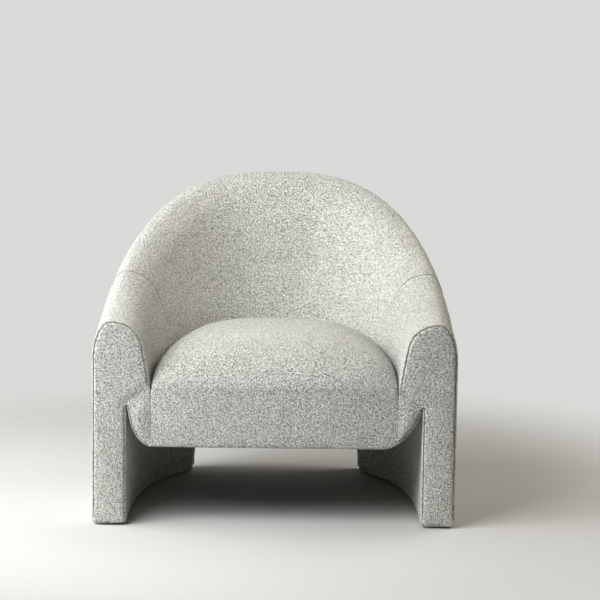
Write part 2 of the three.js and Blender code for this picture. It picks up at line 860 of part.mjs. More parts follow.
function makeSeatFrame() {
  const middleZ = seatRailTop - seatRailHeight / 2;
  const clearWidth = 2 * (sideRailX - fitGap);
  const railY = frontRailY + seatRailThickness / 2;
  boxAt('seat_front_rail', [clearWidth, seatRailThickness, seatRailHeight], [0, railY, middleZ], hardwood);
  const railEnd = backRailRing(stationAt(1, angleAtShare(backRailShare)));
  const railEndY = Math.min(...railEnd.map((point) => point.y)) - fitGap;
  const sideLength = railEndY - frontRailY;
  const sideZ = seatRailTop - sideRailHeight / 2;
  for (const side of [-1, 1]) {
    const centre = [side * (sideRailX + seatRailThickness / 2), frontRailY + sideLength / 2, sideZ];
    const name = side < 0 ? 'seat_side_rail_left' : 'seat_side_rail_right';
    boxAt(name, [seatRailThickness, sideLength, sideRailHeight], centre, hardwood);
  }
  const rearInset = frameBackInset + seatRailThickness + 2 * fitGap;
  const rearFar = rearRailY + seatRailThickness;
  const rearAngle = crossing(angleAtShare(meetStartShare), quarterTurn, (angle) => {
    return wallPoint(stationAt(1, angle), seatRailTop - seatRailHeight, rearInset).y - rearFar;
  });
  const rearEnd = wallPoint(stationAt(1, rearAngle), seatRailTop - seatRailHeight, rearInset);
  const rearHalf = rearEnd.x - waddingSpace;
  const rearCentre = [0, rearRailY + seatRailThickness / 2, middleZ];
  boxAt('seat_rear_rail', [2 * rearHalf, seatRailThickness, seatRailHeight], rearCentre, hardwood);
  makeCornerBlocks();
}

// glued triangular blocks in the front corners
function makeCornerBlocks() {
  const startY = frontRailY + seatRailThickness + fitGap;
  const startX = sideRailX - fitGap;
  for (const side of [-1, 1]) {
    const outline = [[startX, startY], [startX, startY + cornerBlockLeg], [startX - cornerBlockLeg, startY]];
    const geometry = new THREE.ExtrudeGeometry(shapeOf(mirrored(outline, side)), {
      depth: cornerBlockHeight,
      bevelEnabled: false,
    });
    const mesh = addMesh(side < 0 ? 'corner_block_left' : 'corner_block_right', geometry, hardwood);
    mesh.position.z = seatRailTop - cornerBlockHeight;
  }
}

// springs

const springStartY = frontRailY + seatRailThickness - clipTail / 2;
const springFinishY = rearRailY + clipTail / 2;

function springLift(y) {
  const middle = (springStartY + springFinishY) / 2;
  const share = (y - middle) / (springFinishY - springStartY) * 2;
  return springArch * (1 - Math.min(share * share, 1));
}

// one unbroken zigzag wire from the front rail to the rear rail
function springPath(x) {
  const points = [];
  const first = springStartY + springEnd;
  const last = springFinishY - springEnd;
  const loops = Math.round((last - first) / springLoopPitch);
  const pitch = (last - first) / loops;
  const rest = seatRailTop + fitGap + clipThickness + springWire / 2;
  const add = (px, y) => points.push(new THREE.Vector3(px, y, rest + springLift(y)));
  const half = springLoopWidth / 2;
  add(x - half / 2, springStartY);
  add(x + half / 2, springStartY);
  for (let loop = 0; loop < loops; loop += 1) {
    const way = loop % 2 === 0 ? 1 : -1;
    const y = first + loop * pitch;
    add(x + way * half, y + pitch / 4);
    add(x + way * half, y + (pitch * 3) / 4);
  }
  const lastWay = loops % 2 === 0 ? 1 : -1;
  add(x + (lastWay * half) / 2, springFinishY);
  add(x - (lastWay * half) / 2, springFinishY);
  return points;
}

// sweeps a few-sided ring along a line of points, mitred at the corners
function wire(points, diameter, sides) {
  const up = new THREE.Vector3(0, 0, 1);
  const rings = points.map((point, i) => {
    const before = points[Math.max(i - 1, 0)];
    const after = points[Math.min(i + 1, points.length - 1)];
    const intoDir = new THREE.Vector3().subVectors(point, before);
    const outDir = new THREE.Vector3().subVectors(after, point);
    const ahead = intoDir.lengthSq() > 0 ? intoDir.clone().normalize() : outDir.clone().normalize();
    const behind = outDir.lengthSq() > 0 ? outDir.clone().normalize() : ahead.clone();
    const along = ahead.clone().add(behind).normalize();
    const across = new THREE.Vector3().crossVectors(along, up).normalize();
    const spread = Math.max(along.dot(ahead), 1 / 2);
    const ring = [];
    for (let side = 0; side < sides; side += 1) {
      const turn = (side / sides) * 2 * halfTurn;
      const offset = across.clone().multiplyScalar((Math.cos(turn) * diameter) / 2 / spread);
      offset.addScaledVector(up, (Math.sin(turn) * diameter) / 2);
      ring.push(point.clone().add(offset));
    }
    return ring;
  });
  return loft(rings);
}

// folded steel strap that holds a spring end down on a rail
function makeClip(name, x, y, facing) {
  const inner = clipThickness + springWire + 2 * fitGap;
  const tail = clipTail;
  const outline = [
    [0, 0],
    [tail, 0],
    [tail, clipThickness - fitGap],
    [clipThickness, clipThickness - fitGap],
    [clipThickness, inner],
    [tail / 2, inner],
    [tail / 2, inner + clipThickness],
    [0, inner + clipThickness],
  ];
  const geometry = new THREE.ExtrudeGeometry(shapeOf(outline), { depth: clipWidth, bevelEnabled: false });
  const mesh = addMesh(name, geometry, springSteel);
  const basis = new THREE.Matrix4().makeBasis(
    new THREE.Vector3(0, facing, 0),
    new THREE.Vector3(0, 0, 1),
    new THREE.Vector3(facing, 0, 0),
  );
  mesh.quaternion.setFromRotationMatrix(basis);
  mesh.position.set(x - (facing * clipWidth) / 2, y, seatRailTop + fitGap);
}

function makeSprings() {
  const clipReach = clipThickness + fitGap + springWire / 2;
  for (let i = 0; i < springCount; i += 1) {
    const x = (i - (springCount - 1) / 2) * springSpacing;
    addMesh(`seat_spring_${i + 1}`, wire(springPath(x), springWire, 5), springSteel);
    makeClip(`spring_clip_front_${i + 1}`, x, springStartY - clipReach, 1);
    makeClip(`spring_clip_rear_${i + 1}`, x, springFinishY + clipReach, -1);
  }
}

// back webbing

function makeWebbing() {
  const stations = backStations(webEndShare, backSteps);
  const faces = [frameBackInset + fitGap, frameBackInset + fitGap + webThickness];
  const clear = stations[0].z - topRailDepth - topRailHeight - seatRailTop;
  const webGap = (clear - webCount * webWidth) / (webCount + 1);
  for (let strip = 0; strip < webCount; strip += 1) {
    const low = seatRailTop + webGap + strip * (webWidth + webGap);
    const edges = [low, low + webWidth];
    const grid = (inset) => stations.map((station) => edges.map((z) => wallPoint(station, z, inset)));
    addMesh(`back_webbing_${strip + 1}`, slab(grid(faces[0]), grid(faces[1])), webbing);
  }
}

// foam

// foam that lies on the frame inside, wraps over the top rail and fills to the cover
function rimFoam(stations) {
  const coverSide = coverThickness + seamGap;
  const lipOf = (station) => station.z - Math.min(rimOutDrop - foamLipRise, topRailDepth + topRailHeight);
  const footOf = (station) => Math.min(deckHeight + springArch, station.seatZ - creaseTuck / 2);
  const face = stations.map((station) => {
    const section = rimSection(station, turnShares, fallShares);
    const [creaseX] = section[section.length - 1];
    const line = offsetLine([...section, [creaseX, footOf(station)]], -coverSide);
    const lipShare = (lipOf(station) - line[0][1]) / (line[1][1] - line[0][1]);
    line[0] = [mix(line[0][0], line[1][0], lipShare), lipOf(station)];
    return line.map((point) => sectionPoint(station, point));
  });
  const back = stations.map((station) => {
    const top = station.z - topRailDepth + railClearance;
    const bottom = station.z - topRailDepth - topRailHeight;
    const half = topRailWidth / 2 + railClearance;
    const lip = lipOf(station);
    const inner = Math.max(half, foamBackInset - rimOutWidth + railClearance);
    const frame = (z) => foamBackInset + waddingSpace - outOffset(station, z);
    const lower = bottom - ribDepth / 2;
    const line = [
      [-half, lip],
      [-half, mix(lip, top, 1 / 2)],
      [-half, top],
      [0, top],
      [inner, top],
      [inner, mix(bottom, top, 1 / 2)],
      [inner, bottom - railClearance],
    ];
    for (const share of [0, 1 / 4, 1 / 2, 3 / 4, 1]) {
      const z = mix(lower, footOf(station), share);
      line.push([Math.max(frame(z), 0), z]);
    }
    return line.map(([offset, z]) => {
      return new THREE.Vector3(station.x - station.outX * offset, station.y - station.outY * offset, z);
    });
  });
  return slab(face, back);
}

function makeWallFoam() {
  for (const side of [-1, 1]) {
    addMesh(side < 0 ? 'arm_foam_left' : 'arm_foam_right', rimFoam(armStations(side)), foamPad);
  }
  addMesh('back_foam', rimFoam(backStations(armBackSeamShare, backSteps)), foamPad);
}

// seat

const frontRowShares = [0, 0.5, 1];
const roundShares = [0.3, 0.55, 0.8, 1];
const seatFlatShare = 0.5;

// the seat's lines from its lower front edge over the top to the back crease
function seatLines() {
  const lines = frontRowShares.map((share) => ({
    y: frontY,
    half: seatHalfWidth,
    face: share,
    edge: creaseFrontHeight,
    top: creaseFrontHeight,
  }));
  roundShares.forEach((share) => {
    const turn = share * quarterTurn;
    const y = frontY + seatFrontRadius * (1 - Math.cos(turn));
    const meet = (y - frontY) / seatDepth;
    lines.push({
      y,
      half: seatHalfWidth * partner(meet, seatPlanShare),
      edge: creaseFrontHeight + creaseRise * meet,
      top: mix(creaseFrontHeight, seatTopHeight, Math.sin(turn)),
    });
  });
  const roundedY = lines[lines.length - 1].y;
  const stations = [
    ...evenStations(1, frontY, armBackSeamShare, armSteps),
    ...backStations(armBackSeamShare, backSteps).slice(backSteps + 1, 2 * backSteps).reverse(),
  ];
  stations.filter((station) => station.seatY > roundedY + seatFaceCrown).forEach((station) => {
    const fall = Math.max((station.meet - seatFlatShare) / (1 - seatFlatShare), 0) ** 2;
    lines.push({
      y: station.seatY,
      half: Math.abs(station.seatX),
      edge: station.seatZ,
      top: mix(seatTopHeight, creaseFrontHeight + creaseRise + seamGap, fall),
    });
  });
  return lines;
}

// the seat's skin, moved in along its own normals; each row runs from side to side
function seatSurface(inset, bottomLift) {
  const lines = seatLines();
  const columns = [];
  for (let column = 0; column <= seatColumns; column += 1) {
    const share = Math.sin(mix(-quarterTurn, quarterTurn, column / seatColumns));
    const profile = lines.map((line) => {
      const x = (line.half - 2 * seamGap - inset) * share;
      if (line.face === undefined) {
        return [line.y, line.edge + (line.top - line.edge) * partner(share, seatShoulderShare)];
      }
      const bottom = podHeightAt(x, notchX) + bottomLift;
      return [line.y + seatFaceCrown * share * share, mix(bottom, line.edge, line.face)];
    });
    const moved = inset > 0 ? offsetLine(profile, -inset) : profile;
    columns.push(moved.map(([y, z], row) => {
      const meet = Math.max(y - frontY, 0) / seatDepth;
      const pullIn = (2 * seamGap + inset) * meet * meet;
      return new THREE.Vector3((lines[row].half - 2 * seamGap - inset) * share, y - pullIn, z);
    }));
  }
  return lines.map((line, row) => columns.map((column) => column[row]));
}

// the foam's underside: down the front rail, then back over the springs
function seatUnderside(top) {
  const faceRows = frontRowShares.length;
  const flatY = frontRailY - fitGap;
  const roundedY = top[faceRows + roundShares.length - 1][0].y;
  return top.map((row, index) => row.map((point) => {
    if (index < faceRows - 1) {
      return new THREE.Vector3(point.x, flatY, point.z);
    }
    const roundStep = index - faceRows + 1;
    const y = index < faceRows + roundShares.length
      ? mix(flatY, roundedY, roundStep / roundShares.length)
      : point.y;
    return new THREE.Vector3(point.x, y, deckHeight + springLift(y));
  }));
}

function makeSeat() {
  const cover = slab(seatSurface(0, seamGap), seatSurface(coverThickness, seamGap));
  addMesh('seat_cover', cover, cloth);
  const top = seatSurface(coverThickness + 3 * seamGap, 2 * coverThickness);
  addMesh('seat_foam', slab(top, seatUnderside(top)), foamPad);
}

// glides

function makeGlides() {
  const glideAngles = [angleAtShare(firstRibShare / 2), legEndAngle()];
  for (const side of [-1, 1]) {
    glideAngles.forEach((angle, i) => {
      const station = stationAt(side, angle);
      const place = wallPoint(station, glideHeight, legThickness / 2);
      const geometry = new THREE.CylinderGeometry(glideRadius, glideRadius, glideHeight, 20);
      const end = side < 0 ? 'left' : 'right';
      const mesh = addMesh(i < 1 ? `glide_front_${end}` : `glide_rear_${end}`, geometry, glidePlastic);
      mesh.rotation.x = quarterTurn;
      mesh.position.set(place.x, place.y, glideHeight / 2);
    });
  }
}

makeGlides();
makeBasePlates();
makeArmFronts();
makeRibs();
makeTopRails();
makeBackRail();
makeSeatFrame();
makeSprings();
makeWebbing();
makeWallFoam();
makeSeat();
makeInsideCovers();
makeOutsideCover();
makeLegLinings();
makeArchCover();
makeUndersideCovers();
makeDustCloth();

export default chair;
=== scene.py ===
from math import cos, hypot, pi, radians, sin, sqrt

import bmesh
import bpy
import numpy as np
from mathutils import Matrix, Vector, noise
from mathutils.geometry import delaunay_2d_cdt


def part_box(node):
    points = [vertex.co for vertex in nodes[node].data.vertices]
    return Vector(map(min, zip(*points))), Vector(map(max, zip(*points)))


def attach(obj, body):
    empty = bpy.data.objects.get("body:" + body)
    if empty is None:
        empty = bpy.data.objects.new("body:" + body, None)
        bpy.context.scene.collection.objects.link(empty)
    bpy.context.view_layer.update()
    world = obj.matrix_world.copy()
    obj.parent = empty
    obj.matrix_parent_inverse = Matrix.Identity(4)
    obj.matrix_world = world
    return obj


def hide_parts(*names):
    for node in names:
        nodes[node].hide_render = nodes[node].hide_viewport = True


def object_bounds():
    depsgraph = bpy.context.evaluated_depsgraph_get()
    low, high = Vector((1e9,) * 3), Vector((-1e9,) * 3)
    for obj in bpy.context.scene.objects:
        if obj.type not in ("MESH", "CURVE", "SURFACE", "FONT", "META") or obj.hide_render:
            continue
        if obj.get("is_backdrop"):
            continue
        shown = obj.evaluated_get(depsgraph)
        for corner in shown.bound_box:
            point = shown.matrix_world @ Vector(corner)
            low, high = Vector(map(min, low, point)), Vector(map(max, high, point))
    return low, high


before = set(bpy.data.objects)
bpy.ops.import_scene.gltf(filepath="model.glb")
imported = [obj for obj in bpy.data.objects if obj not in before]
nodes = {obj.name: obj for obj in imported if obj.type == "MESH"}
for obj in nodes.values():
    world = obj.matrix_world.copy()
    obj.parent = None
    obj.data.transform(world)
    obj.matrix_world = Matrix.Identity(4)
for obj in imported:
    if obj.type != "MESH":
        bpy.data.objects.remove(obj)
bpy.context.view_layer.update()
print("frame loaded:", len(nodes), "nodes")

# the tub's wall, as the frame has it, in metres
tub = {
    "front": -0.375,
    "crestHalf": 0.368, "crestDepth": 0.708, "planPower": 2.8,
    "armHeight": 0.467, "backRise": 0.284, "risePower": 1.5,
    "rimOut": 0.042, "rimDrop": 0.085,
    "armRoll": (0.064, 0.062, 2.25), "backRoll": (0.044, 0.064, 2.0), "rollChange": 0.55,
    "backLean": 0.100, "leanDrop": 0.026,
    "seamPlace": 0.417, "seamSlant": 0.030,
}
seat = {
    "half": 0.278, "depth": 0.530, "planPower": 2.25, "shoulderPower": 2.5,
    "crease": 0.312, "creaseRise": 0.084, "top": 0.418,
    "frontRadius": 0.096, "bulge": 0.005, "lowerRoll": 0.010, "frontSeam": 0.00006,
    "tuckHeight": 0.046, "tuckLeast": 0.05, "boardClear": 0.0224,
    "meetStart": 0.35, "meetSpan": 0.6,  # shares of the depth over which the crease evens out
}
# the photographed cover is fuller at the left lower corner than at the right
pod = {
    "bottom": 0.180, "notch": 0.276, "inner": 0.2355,
    -1: {"flatHalf": 0.272, "power": 2.0, "blunt": 0.003},
    1: {"flatHalf": 0.252, "power": 1.52, "blunt": 0.0},
}
leg = {"thickness": 0.077, "lift": 0.006, "liningGap": 0.0012}  # the gap is an angle, in radians
arch = {"half": 0.212, "height": 0.172, "power": 2.6}
cloth = {
    "thickness": 0.004, "seam": 0.0002, "rimSeam": 0.0006, "frontPanel": -0.3711, "wrapStart": -0.3738,
    "give": 0.7,  # share of the thickness that an edge may sink before the back moves too
}
bothSides = ((-1, "left"), (1, "right"))


def mix(a, b, share):
    return a + (b - a) * share


def eased(share):
    t = min(max(share, 0), 1)
    return t * t * (3 - 2 * t)


def partner(share, power):
    return max(1 - min(abs(share), 1) ** power, 0) ** (1 / power)


def quarterRound(share):  # 0 at the edge, 1 from one radius in
    t = np.clip(share, 0, 1)
    return np.sqrt(np.maximum(1 - (1 - t) ** 2, 0))


# a station is one place along the crest, with the way out of the tub and the seat crease that faces it
def stationAt(side, angle):
    along = sin(angle) ** (2 / tub["planPower"])
    across = max(cos(angle), 0) ** (2 / tub["planPower"])
    gradX = across ** (tub["planPower"] - 1) / tub["crestHalf"]
    gradY = along ** (tub["planPower"] - 1) / tub["crestDepth"]
    steep = hypot(gradX, gradY)
    x = side * tub["crestHalf"] * across
    y = tub["front"] + tub["crestDepth"] * along
    level = along * tub["crestDepth"] / seat["depth"]
    even = sin(angle) ** (2 / seat["planPower"])
    meet = min(mix(level, even, eased((along - seat["meetStart"]) / seat["meetSpan"])), 1)
    seatX = side * seat["half"] * partner(meet, seat["planPower"])
    seatY = tub["front"] + seat["depth"] * meet
    reach = hypot(seatX - x, seatY - y)
    return {
        "along": along, "x": x, "y": y, "z": tub["armHeight"] + tub["backRise"] * along ** tub["risePower"],
        "outX": side * gradX / steep, "outY": gradY / steep,
        "inX": (seatX - x) / reach, "inY": (seatY - y) / reach, "reach": reach,
        "seatZ": seat["crease"] + seat["creaseRise"] * meet,
    }


def outOffset(st, z):
    rollStart = st["z"] - tub["rimDrop"]
    up = min(max((z - rollStart) / tub["rimDrop"], 0), 1)
    lean = tub["backLean"] * st["outY"] ** 2
    return tub["rimOut"] * sqrt(1 - up * up) - lean * max(1 - z / (rollStart - tub["leanDrop"]), 0)


def wallPoint(st, z, inset):
    offset = outOffset(st, z) - inset
    return (st["x"] + st["outX"] * offset, st["y"] + st["outY"] * offset, z)


def sectionPoint(st, inward, z):
    if inward < 0:
        return (st["x"] - st["outX"] * inward, st["y"] - st["outY"] * inward, z)
    return (st["x"] + st["inX"] * inward, st["y"] + st["inY"] * inward, z)


def archHeight(x):
    return arch["height"] * partner(x / arch["half"], arch["power"])


def podHeight(side, x, wallX):
    corner = pod[side]
    share = max(abs(x) - corner["flatHalf"], 0) / (wallX - corner["blunt"] - corner["flatHalf"])
    return pod["bottom"] + (pod["notch"] - pod["bottom"]) * (1 - partner(share, corner["power"]))


notchX = wallPoint(stationAt(1, 0), pod["notch"], leg["thickness"])[0]


# the pod's lower corner as (x, z), rounded where it runs into the notch
def cornerLine(side, startX, endX):
    xs = np.linspace(startX, endX, int((endX - startX) / 0.0008) + 2)
    zs = np.array([podHeight(side, x, notchX) for x in xs])
    for _ in range(30):
        zs[1:-1] = (zs[:-2] + 2 * zs[1:-1] + zs[2:]) / 4
    return xs, zs


def runLengths(points):
    return np.concatenate([[0], np.cumsum(np.linalg.norm(np.diff(points, axis=0), axis=1))])


# lengths along the crest, so that columns stand evenly
crestAngles = pi / 2 * np.linspace(0, 1, 3000) ** 2
crestPoints = np.array([(s["x"], s["y"], s["z"]) for s in (stationAt(1, a) for a in crestAngles)])
crestRuns = runLengths(crestPoints)
fullRun = float(crestRuns[-1])


def runAtY(y):
    return float(np.interp(y, crestPoints[:, 1], crestRuns))


def angleAtRun(run):
    return float(np.interp(run, crestRuns, crestAngles))


def angleAtX(x, z, inset):
    low, high = 0.2, pi / 2
    for _ in range(40):
        middle = (low + high) / 2
        if wallPoint(stationAt(1, middle), z, inset)[0] > x:
            low = middle
        else:
            high = middle
    return (low + high) / 2


fineEdge = [0, 0.0008, 0.0018, 0.0030, 0.0046, 0.0066, 0.0092, 0.0125]


# places from 0 to a length: close together near a seam, then even
def spreadOut(length, step, fineStart=True, fineEnd=True):
    start = fineEdge if fineStart else [0]
    end = [length - v for v in reversed(fineEdge)] if fineEnd else [length]
    count = max(int(round((end[0] - start[-1]) / step)), 1)
    middle = np.linspace(start[-1], end[0], count + 1)[1:-1]
    return np.array(start + list(middle) + end)


def gridNormals(grid, outward):
    normals = np.cross(np.gradient(grid, axis=0), np.gradient(grid, axis=1))
    length = np.linalg.norm(normals, axis=2, keepdims=True)
    normals = normals / np.maximum(length, 1e-12)
    return normals * np.sign((normals * outward).sum())


# how far each point lies from one edge of its grid, along the surface
def edgeDistance(grid, edge):
    axis = 0 if edge in ("firstRow", "lastRow") else 1
    steps = np.linalg.norm(np.diff(grid, axis=axis), axis=2)
    zero = np.zeros_like(steps[:1] if axis == 0 else steps[:, :1])
    run = np.concatenate([zero, np.cumsum(steps, axis=axis)], axis=axis)
    if edge in ("firstRow", "firstColumn"):
        return run
    return (run[-1:] if axis == 0 else run[:, -1:]) - run


# how the cloth turns in where it is sewn: radius and depth
fold = {
    "front": (0.0062, 0.0043), "lip": (0.0034, 0.0026), "rim": (0.005, 0.0011), "join": (0.006, 0.0018),
    "seat": (0.011, 0.0045), "foot": (0.009, 0.0052), "lining": (0.006, 0.0030), "arch": (0.006, 0.0022),
}


# how deep each point sinks at one edge, with a share for each place along it where it isn't even
def edgeSink(face, edge, radius, depth, along=None):
    sink = depth * (1 - quarterRound(edgeDistance(face, edge) / radius))
    if along is None:
        return sink
    return sink * (along[:, None] if "Column" in edge else along[None, :])


def softenEdges(face, back, edges):
    normals = gridNormals(face, face - back)
    sink = np.zeros(face.shape[:2])
    for edge, turn in edges.items():
        sink = np.maximum(sink, edgeSink(face, edge, *turn))
    push = np.maximum(sink - cloth["give"] * cloth["thickness"], 0)
    return face - normals * sink[:, :, None], back - normals * push[:, :, None]


# wraps a wall panel's front edge round to the seam of the arm front, where it dips a little
def wrapFront(face, back, edge, edges, *shares):
    face, back = softenEdges(face, back, {**edges, edge: (*fold["front"], *shares)})
    dip = edgeSink(face, edge, *fold["lip"], *shares)
    face[:, :, 1] += dip
    back[:, :, 1] = np.where(dip > 0, np.maximum(back[:, :, 1], face[:, :, 1]), back[:, :, 1])
    return face, back


# slight unevenness of the padding under the cloth: share and scale of its waves, and how near a seam it fades
unevenness = {"broad": (0.7, 10), "fine": (0.3, 27), "fade": 0.03}


def uneven(face, back, amount):
    normals = gridNormals(face, face - back)
    fade = np.ones(face.shape[:2])
    for edge in ("firstRow", "lastRow", "firstColumn", "lastColumn"):
        fade = np.minimum(fade, edgeDistance(face, edge) / unevenness["fade"])
    (broad, broadScale), (fine, fineScale) = unevenness["broad"], unevenness["fine"]
    waves = np.array([[
        broad * noise.noise(Vector(p) * broadScale) + fine * noise.noise(Vector(p) * fineScale) for p in row]
        for row in face])
    return face + normals * (amount * waves * fade)[:, :, None]


def newObject(name, data):
    made = bpy.data.objects.new(name, data)
    bpy.context.scene.collection.objects.link(made)
    return made


# Blender's cloth blows the pad up between its seams, on a coarse copy of its grid
padCloth = {"quality": 6, "mass": 0.3, "stiffness": 18.0, "bending": 0.6, "pressure": 4.0, "frames": 20}


def plumpUp(face, back, pad, weights):
    rows = np.unique(np.linspace(0, face.shape[0] - 1, pad["rows"]).astype(int))
    columns = np.unique(np.linspace(0, face.shape[1] - 1, pad["columns"]).astype(int))
    coarse, behind = face[np.ix_(rows, columns)], back[np.ix_(rows, columns)]
    points, faces = shellParts(coarse, behind)
    mesh = bpy.data.meshes.new("pad_in_work")
    mesh.from_pydata([tuple(p) for p in points], [], faces)
    work = newObject("pad_in_work", mesh)
    count = len(rows) * len(columns)
    edge = np.ones((len(rows), len(columns)), bool)
    edge[1:-1, 1:-1] = False
    sewn = work.vertex_groups.new(name="sewn")
    sewn.add([int(i) for i in np.flatnonzero(edge.ravel())] + list(range(count, 2 * count)), 1.0, "REPLACE")
    blowing = work.modifiers.new("cloth", "CLOTH")
    stuff = blowing.settings
    stuff.quality = padCloth["quality"]
    stuff.mass = padCloth["mass"]
    stuff.tension_stiffness = stuff.compression_stiffness = padCloth["stiffness"]
    stuff.shear_stiffness = padCloth["stiffness"] / 2
    stuff.bending_stiffness = padCloth["bending"]
    stuff.use_pressure = True
    stuff.uniform_pressure_force = padCloth["pressure"]
    stuff.vertex_group_mass = "sewn"
    stuff.effector_weights.gravity = 0
    blowing.point_cache.frame_start = 1
    blowing.point_cache.frame_end = padCloth["frames"]
    for step in range(1, padCloth["frames"] + 1):
        bpy.context.scene.frame_set(step)
    worked = work.evaluated_get(bpy.context.evaluated_depsgraph_get())
    moved = np.array([v.co[:] for v in worked.data.vertices])[:count].reshape(coarse.shape) - coarse
    bpy.data.objects.remove(work)
    bpy.context.scene.frame_set(1)
    size = np.linalg.norm(moved, axis=2, keepdims=True)
    print("  plumped:", pad["name"], "up to", round(float(size.max()) * 1000, 1), "mm")
    moved *= np.minimum(1, pad["cap"] / np.maximum(size, 1e-9))
    for _ in range(pad["calm"]):  # irons out the small wrinkles
        moved[1:-1] = (moved[:-2] + 2 * moved[1:-1] + moved[2:]) / 4
        moved[:, 1:-1] = (moved[:, :-2] + 2 * moved[:, 1:-1] + moved[:, 2:]) / 4
    allRows, allColumns = np.arange(face.shape[0]), np.arange(face.shape[1])
    wide = np.stack([[np.interp(allColumns, columns, row[:, i]) for row in moved] for i in range(3)], 2)
    full = np.stack([
        np.stack([np.interp(allRows, rows, wide[:, c, i]) for c in allColumns], 1) for i in range(3)], 2)
    return face + full * weights[:, :, None]


def resampled(line, count):
    line = np.array(line)
    run = runLengths(line)
    at = np.linspace(0, run[-1], count)
    return np.stack([np.interp(at, run, line[:, i]) for i in range(line.shape[1])], axis=1)


def unitSteps(line):
    way = np.gradient(line, axis=0)
    return way / np.linalg.norm(way, axis=1, keepdims=True)


def leftOf(line):  # one unit to the left of each place on a line
    way = unitSteps(line)
    return np.stack([-way[:, 1], way[:, 0]], axis=1)


def addPiece(name, points, faces, material, smoothAngle=42):
    mesh = bpy.data.meshes.new(name)
    mesh.from_pydata([tuple(p) for p in points], [], faces)
    bm = bmesh.new()
    bm.from_mesh(mesh)
    bmesh.ops.remove_doubles(bm, verts=bm.verts, dist=1e-6)
    bmesh.ops.triangulate(bm, faces=[f for f in bm.faces if len(f.verts) > 4])
    bmesh.ops.recalc_face_normals(bm, faces=bm.faces)
    bm.to_mesh(mesh)
    bm.free()
    mesh.materials.append(material)
    piece = newObject(name, mesh)
    bpy.ops.object.select_all(action="DESELECT")
    piece.select_set(True)
    bpy.context.view_layer.objects.active = piece
    bpy.ops.object.shade_smooth_by_angle(angle=radians(smoothAngle))
    return piece


# points and faces of a closed body between two grids with the same rows and columns
def shellParts(face, back):
    rows, columns = face.shape[:2]
    points = np.concatenate([face.reshape(-1, 3), back.reshape(-1, 3)])
    layer = rows * columns
    faces = []
    for r in range(rows - 1):
        for c in range(columns - 1):
            a = r * columns + c
            quad = (a, a + 1, a + columns + 1, a + columns)
            faces.append(quad)
            faces.append(tuple(layer + v for v in reversed(quad)))
    rim = list(range(columns))
    rim += [r * columns + columns - 1 for r in range(1, rows)]
    rim += [(rows - 1) * columns + c for c in range(columns - 2, -1, -1)]
    rim += [r * columns for r in range(rows - 2, 0, -1)]
    for a, b in zip(rim, rim[1:] + rim[:1]):
        faces.append((a, layer + a, layer + b, b))
    return points, faces


def ringFaces(count, low, high):  # joins two rings of points, numbered from low and from high
    return [(low + i, low + (i + 1) % count, high + (i + 1) % count, high + i) for i in range(count)]


def dress(piece, replaced):
    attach(piece, "root")
    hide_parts(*replaced)


# materials
boucle = {
    "yarn": ((0.412, (0.11, 0.105, 0.075)), (0.50, (0.785, 0.79, 0.76)), (0.570, (0.965, 0.97, 0.95))),
    "yarnScale": 570.0, "turn": (0.55, 0.38, 0.80),
    # the hollow colour is a painted shade for the hollows between the loops
    "loopScale": 420.0, "loopTop": ((0.0, 1.0), (0.45, 0.7), (0.85, 0.0)), "paintedHollowShade": (0.74, 0.74, 0.70),
    "patches": ((0.3, (0.96, 0.96, 0.955)), (0.7, 1.03)),
    "wear": ((0.35, (0.965, 0.965, 0.96)), (0.65, 1.02)),
    "fuzz": 0.22, "bump": 0.75, "loopHeight": 0.0016, "sheen": 0.22, "sheenRoughness": 0.45, "specular": 0.25,
}


def addNode(tree, kind, **settings):
    node = tree.nodes.new(kind)
    for key, value in settings.items():
        if key in node.inputs.keys():
            node.inputs[key].default_value = value
        else:
            setattr(node, key, value)
    return node


def newMaterial(name, roughness, metallic=0.0):
    material = bpy.data.materials.new(name)
    material.use_nodes = True
    tree = material.node_tree
    shader = tree.nodes["Principled BSDF"]
    shader.inputs["Roughness"].default_value = roughness
    shader.inputs["Metallic"].default_value = metallic
    return material, tree, shader, addNode(tree, "ShaderNodeTexCoord").outputs["Object"]


def patternAt(tree, kind, place, output="Fac", **settings):
    node = addNode(tree, kind, **settings)
    tree.links.new(place, node.inputs["Vector"])
    return node.outputs[output]


def noiseAt(tree, place, scale, detail, **settings):
    return patternAt(tree, "ShaderNodeTexNoise", place, Scale=scale, Detail=detail, **settings)


def addRamp(tree, source, stops):  # a stop's colour may be one number, for a grey
    ramp = addNode(tree, "ShaderNodeValToRGB")
    while len(ramp.color_ramp.elements) < len(stops):
        ramp.color_ramp.elements.new(0.5)
    for element, (place, colour) in zip(ramp.color_ramp.elements, stops):
        element.position = place
        element.color = (colour, colour, colour, 1) if isinstance(colour, float) else (*colour, 1)
    tree.links.new(source, ramp.inputs["Fac"])
    return ramp.outputs["Color"]


def feed(tree, socket, value):  # a link, a number or a colour
    if isinstance(value, bpy.types.NodeSocket):
        tree.links.new(value, socket)
    else:
        socket.default_value = value if isinstance(value, float) else (*value, 1)


def addMix(tree, factor, a, b, blend="MIX"):
    node = addNode(tree, "ShaderNodeMix", data_type="RGBA", blend_type=blend)
    for number, value in ((0, factor), (6, a), (7, b)):
        feed(tree, node.inputs[number], value)
    return node.outputs[2]


def addMath(tree, operation, a, b):
    node = addNode(tree, "ShaderNodeMath", operation=operation)
    feed(tree, node.inputs[0], a)
    feed(tree, node.inputs[1], b)
    return node.outputs[0]


def shaded(tree, base, source, stops):
    return addMix(tree, 1.0, base, addRamp(tree, source, stops), "MULTIPLY")


def addBump(tree, shader, height, strength, distance):
    bump = addNode(tree, "ShaderNodeBump", Strength=strength, Distance=distance)
    tree.links.new(height, bump.inputs["Height"])
    tree.links.new(bump.outputs["Normal"], shader.inputs["Normal"])
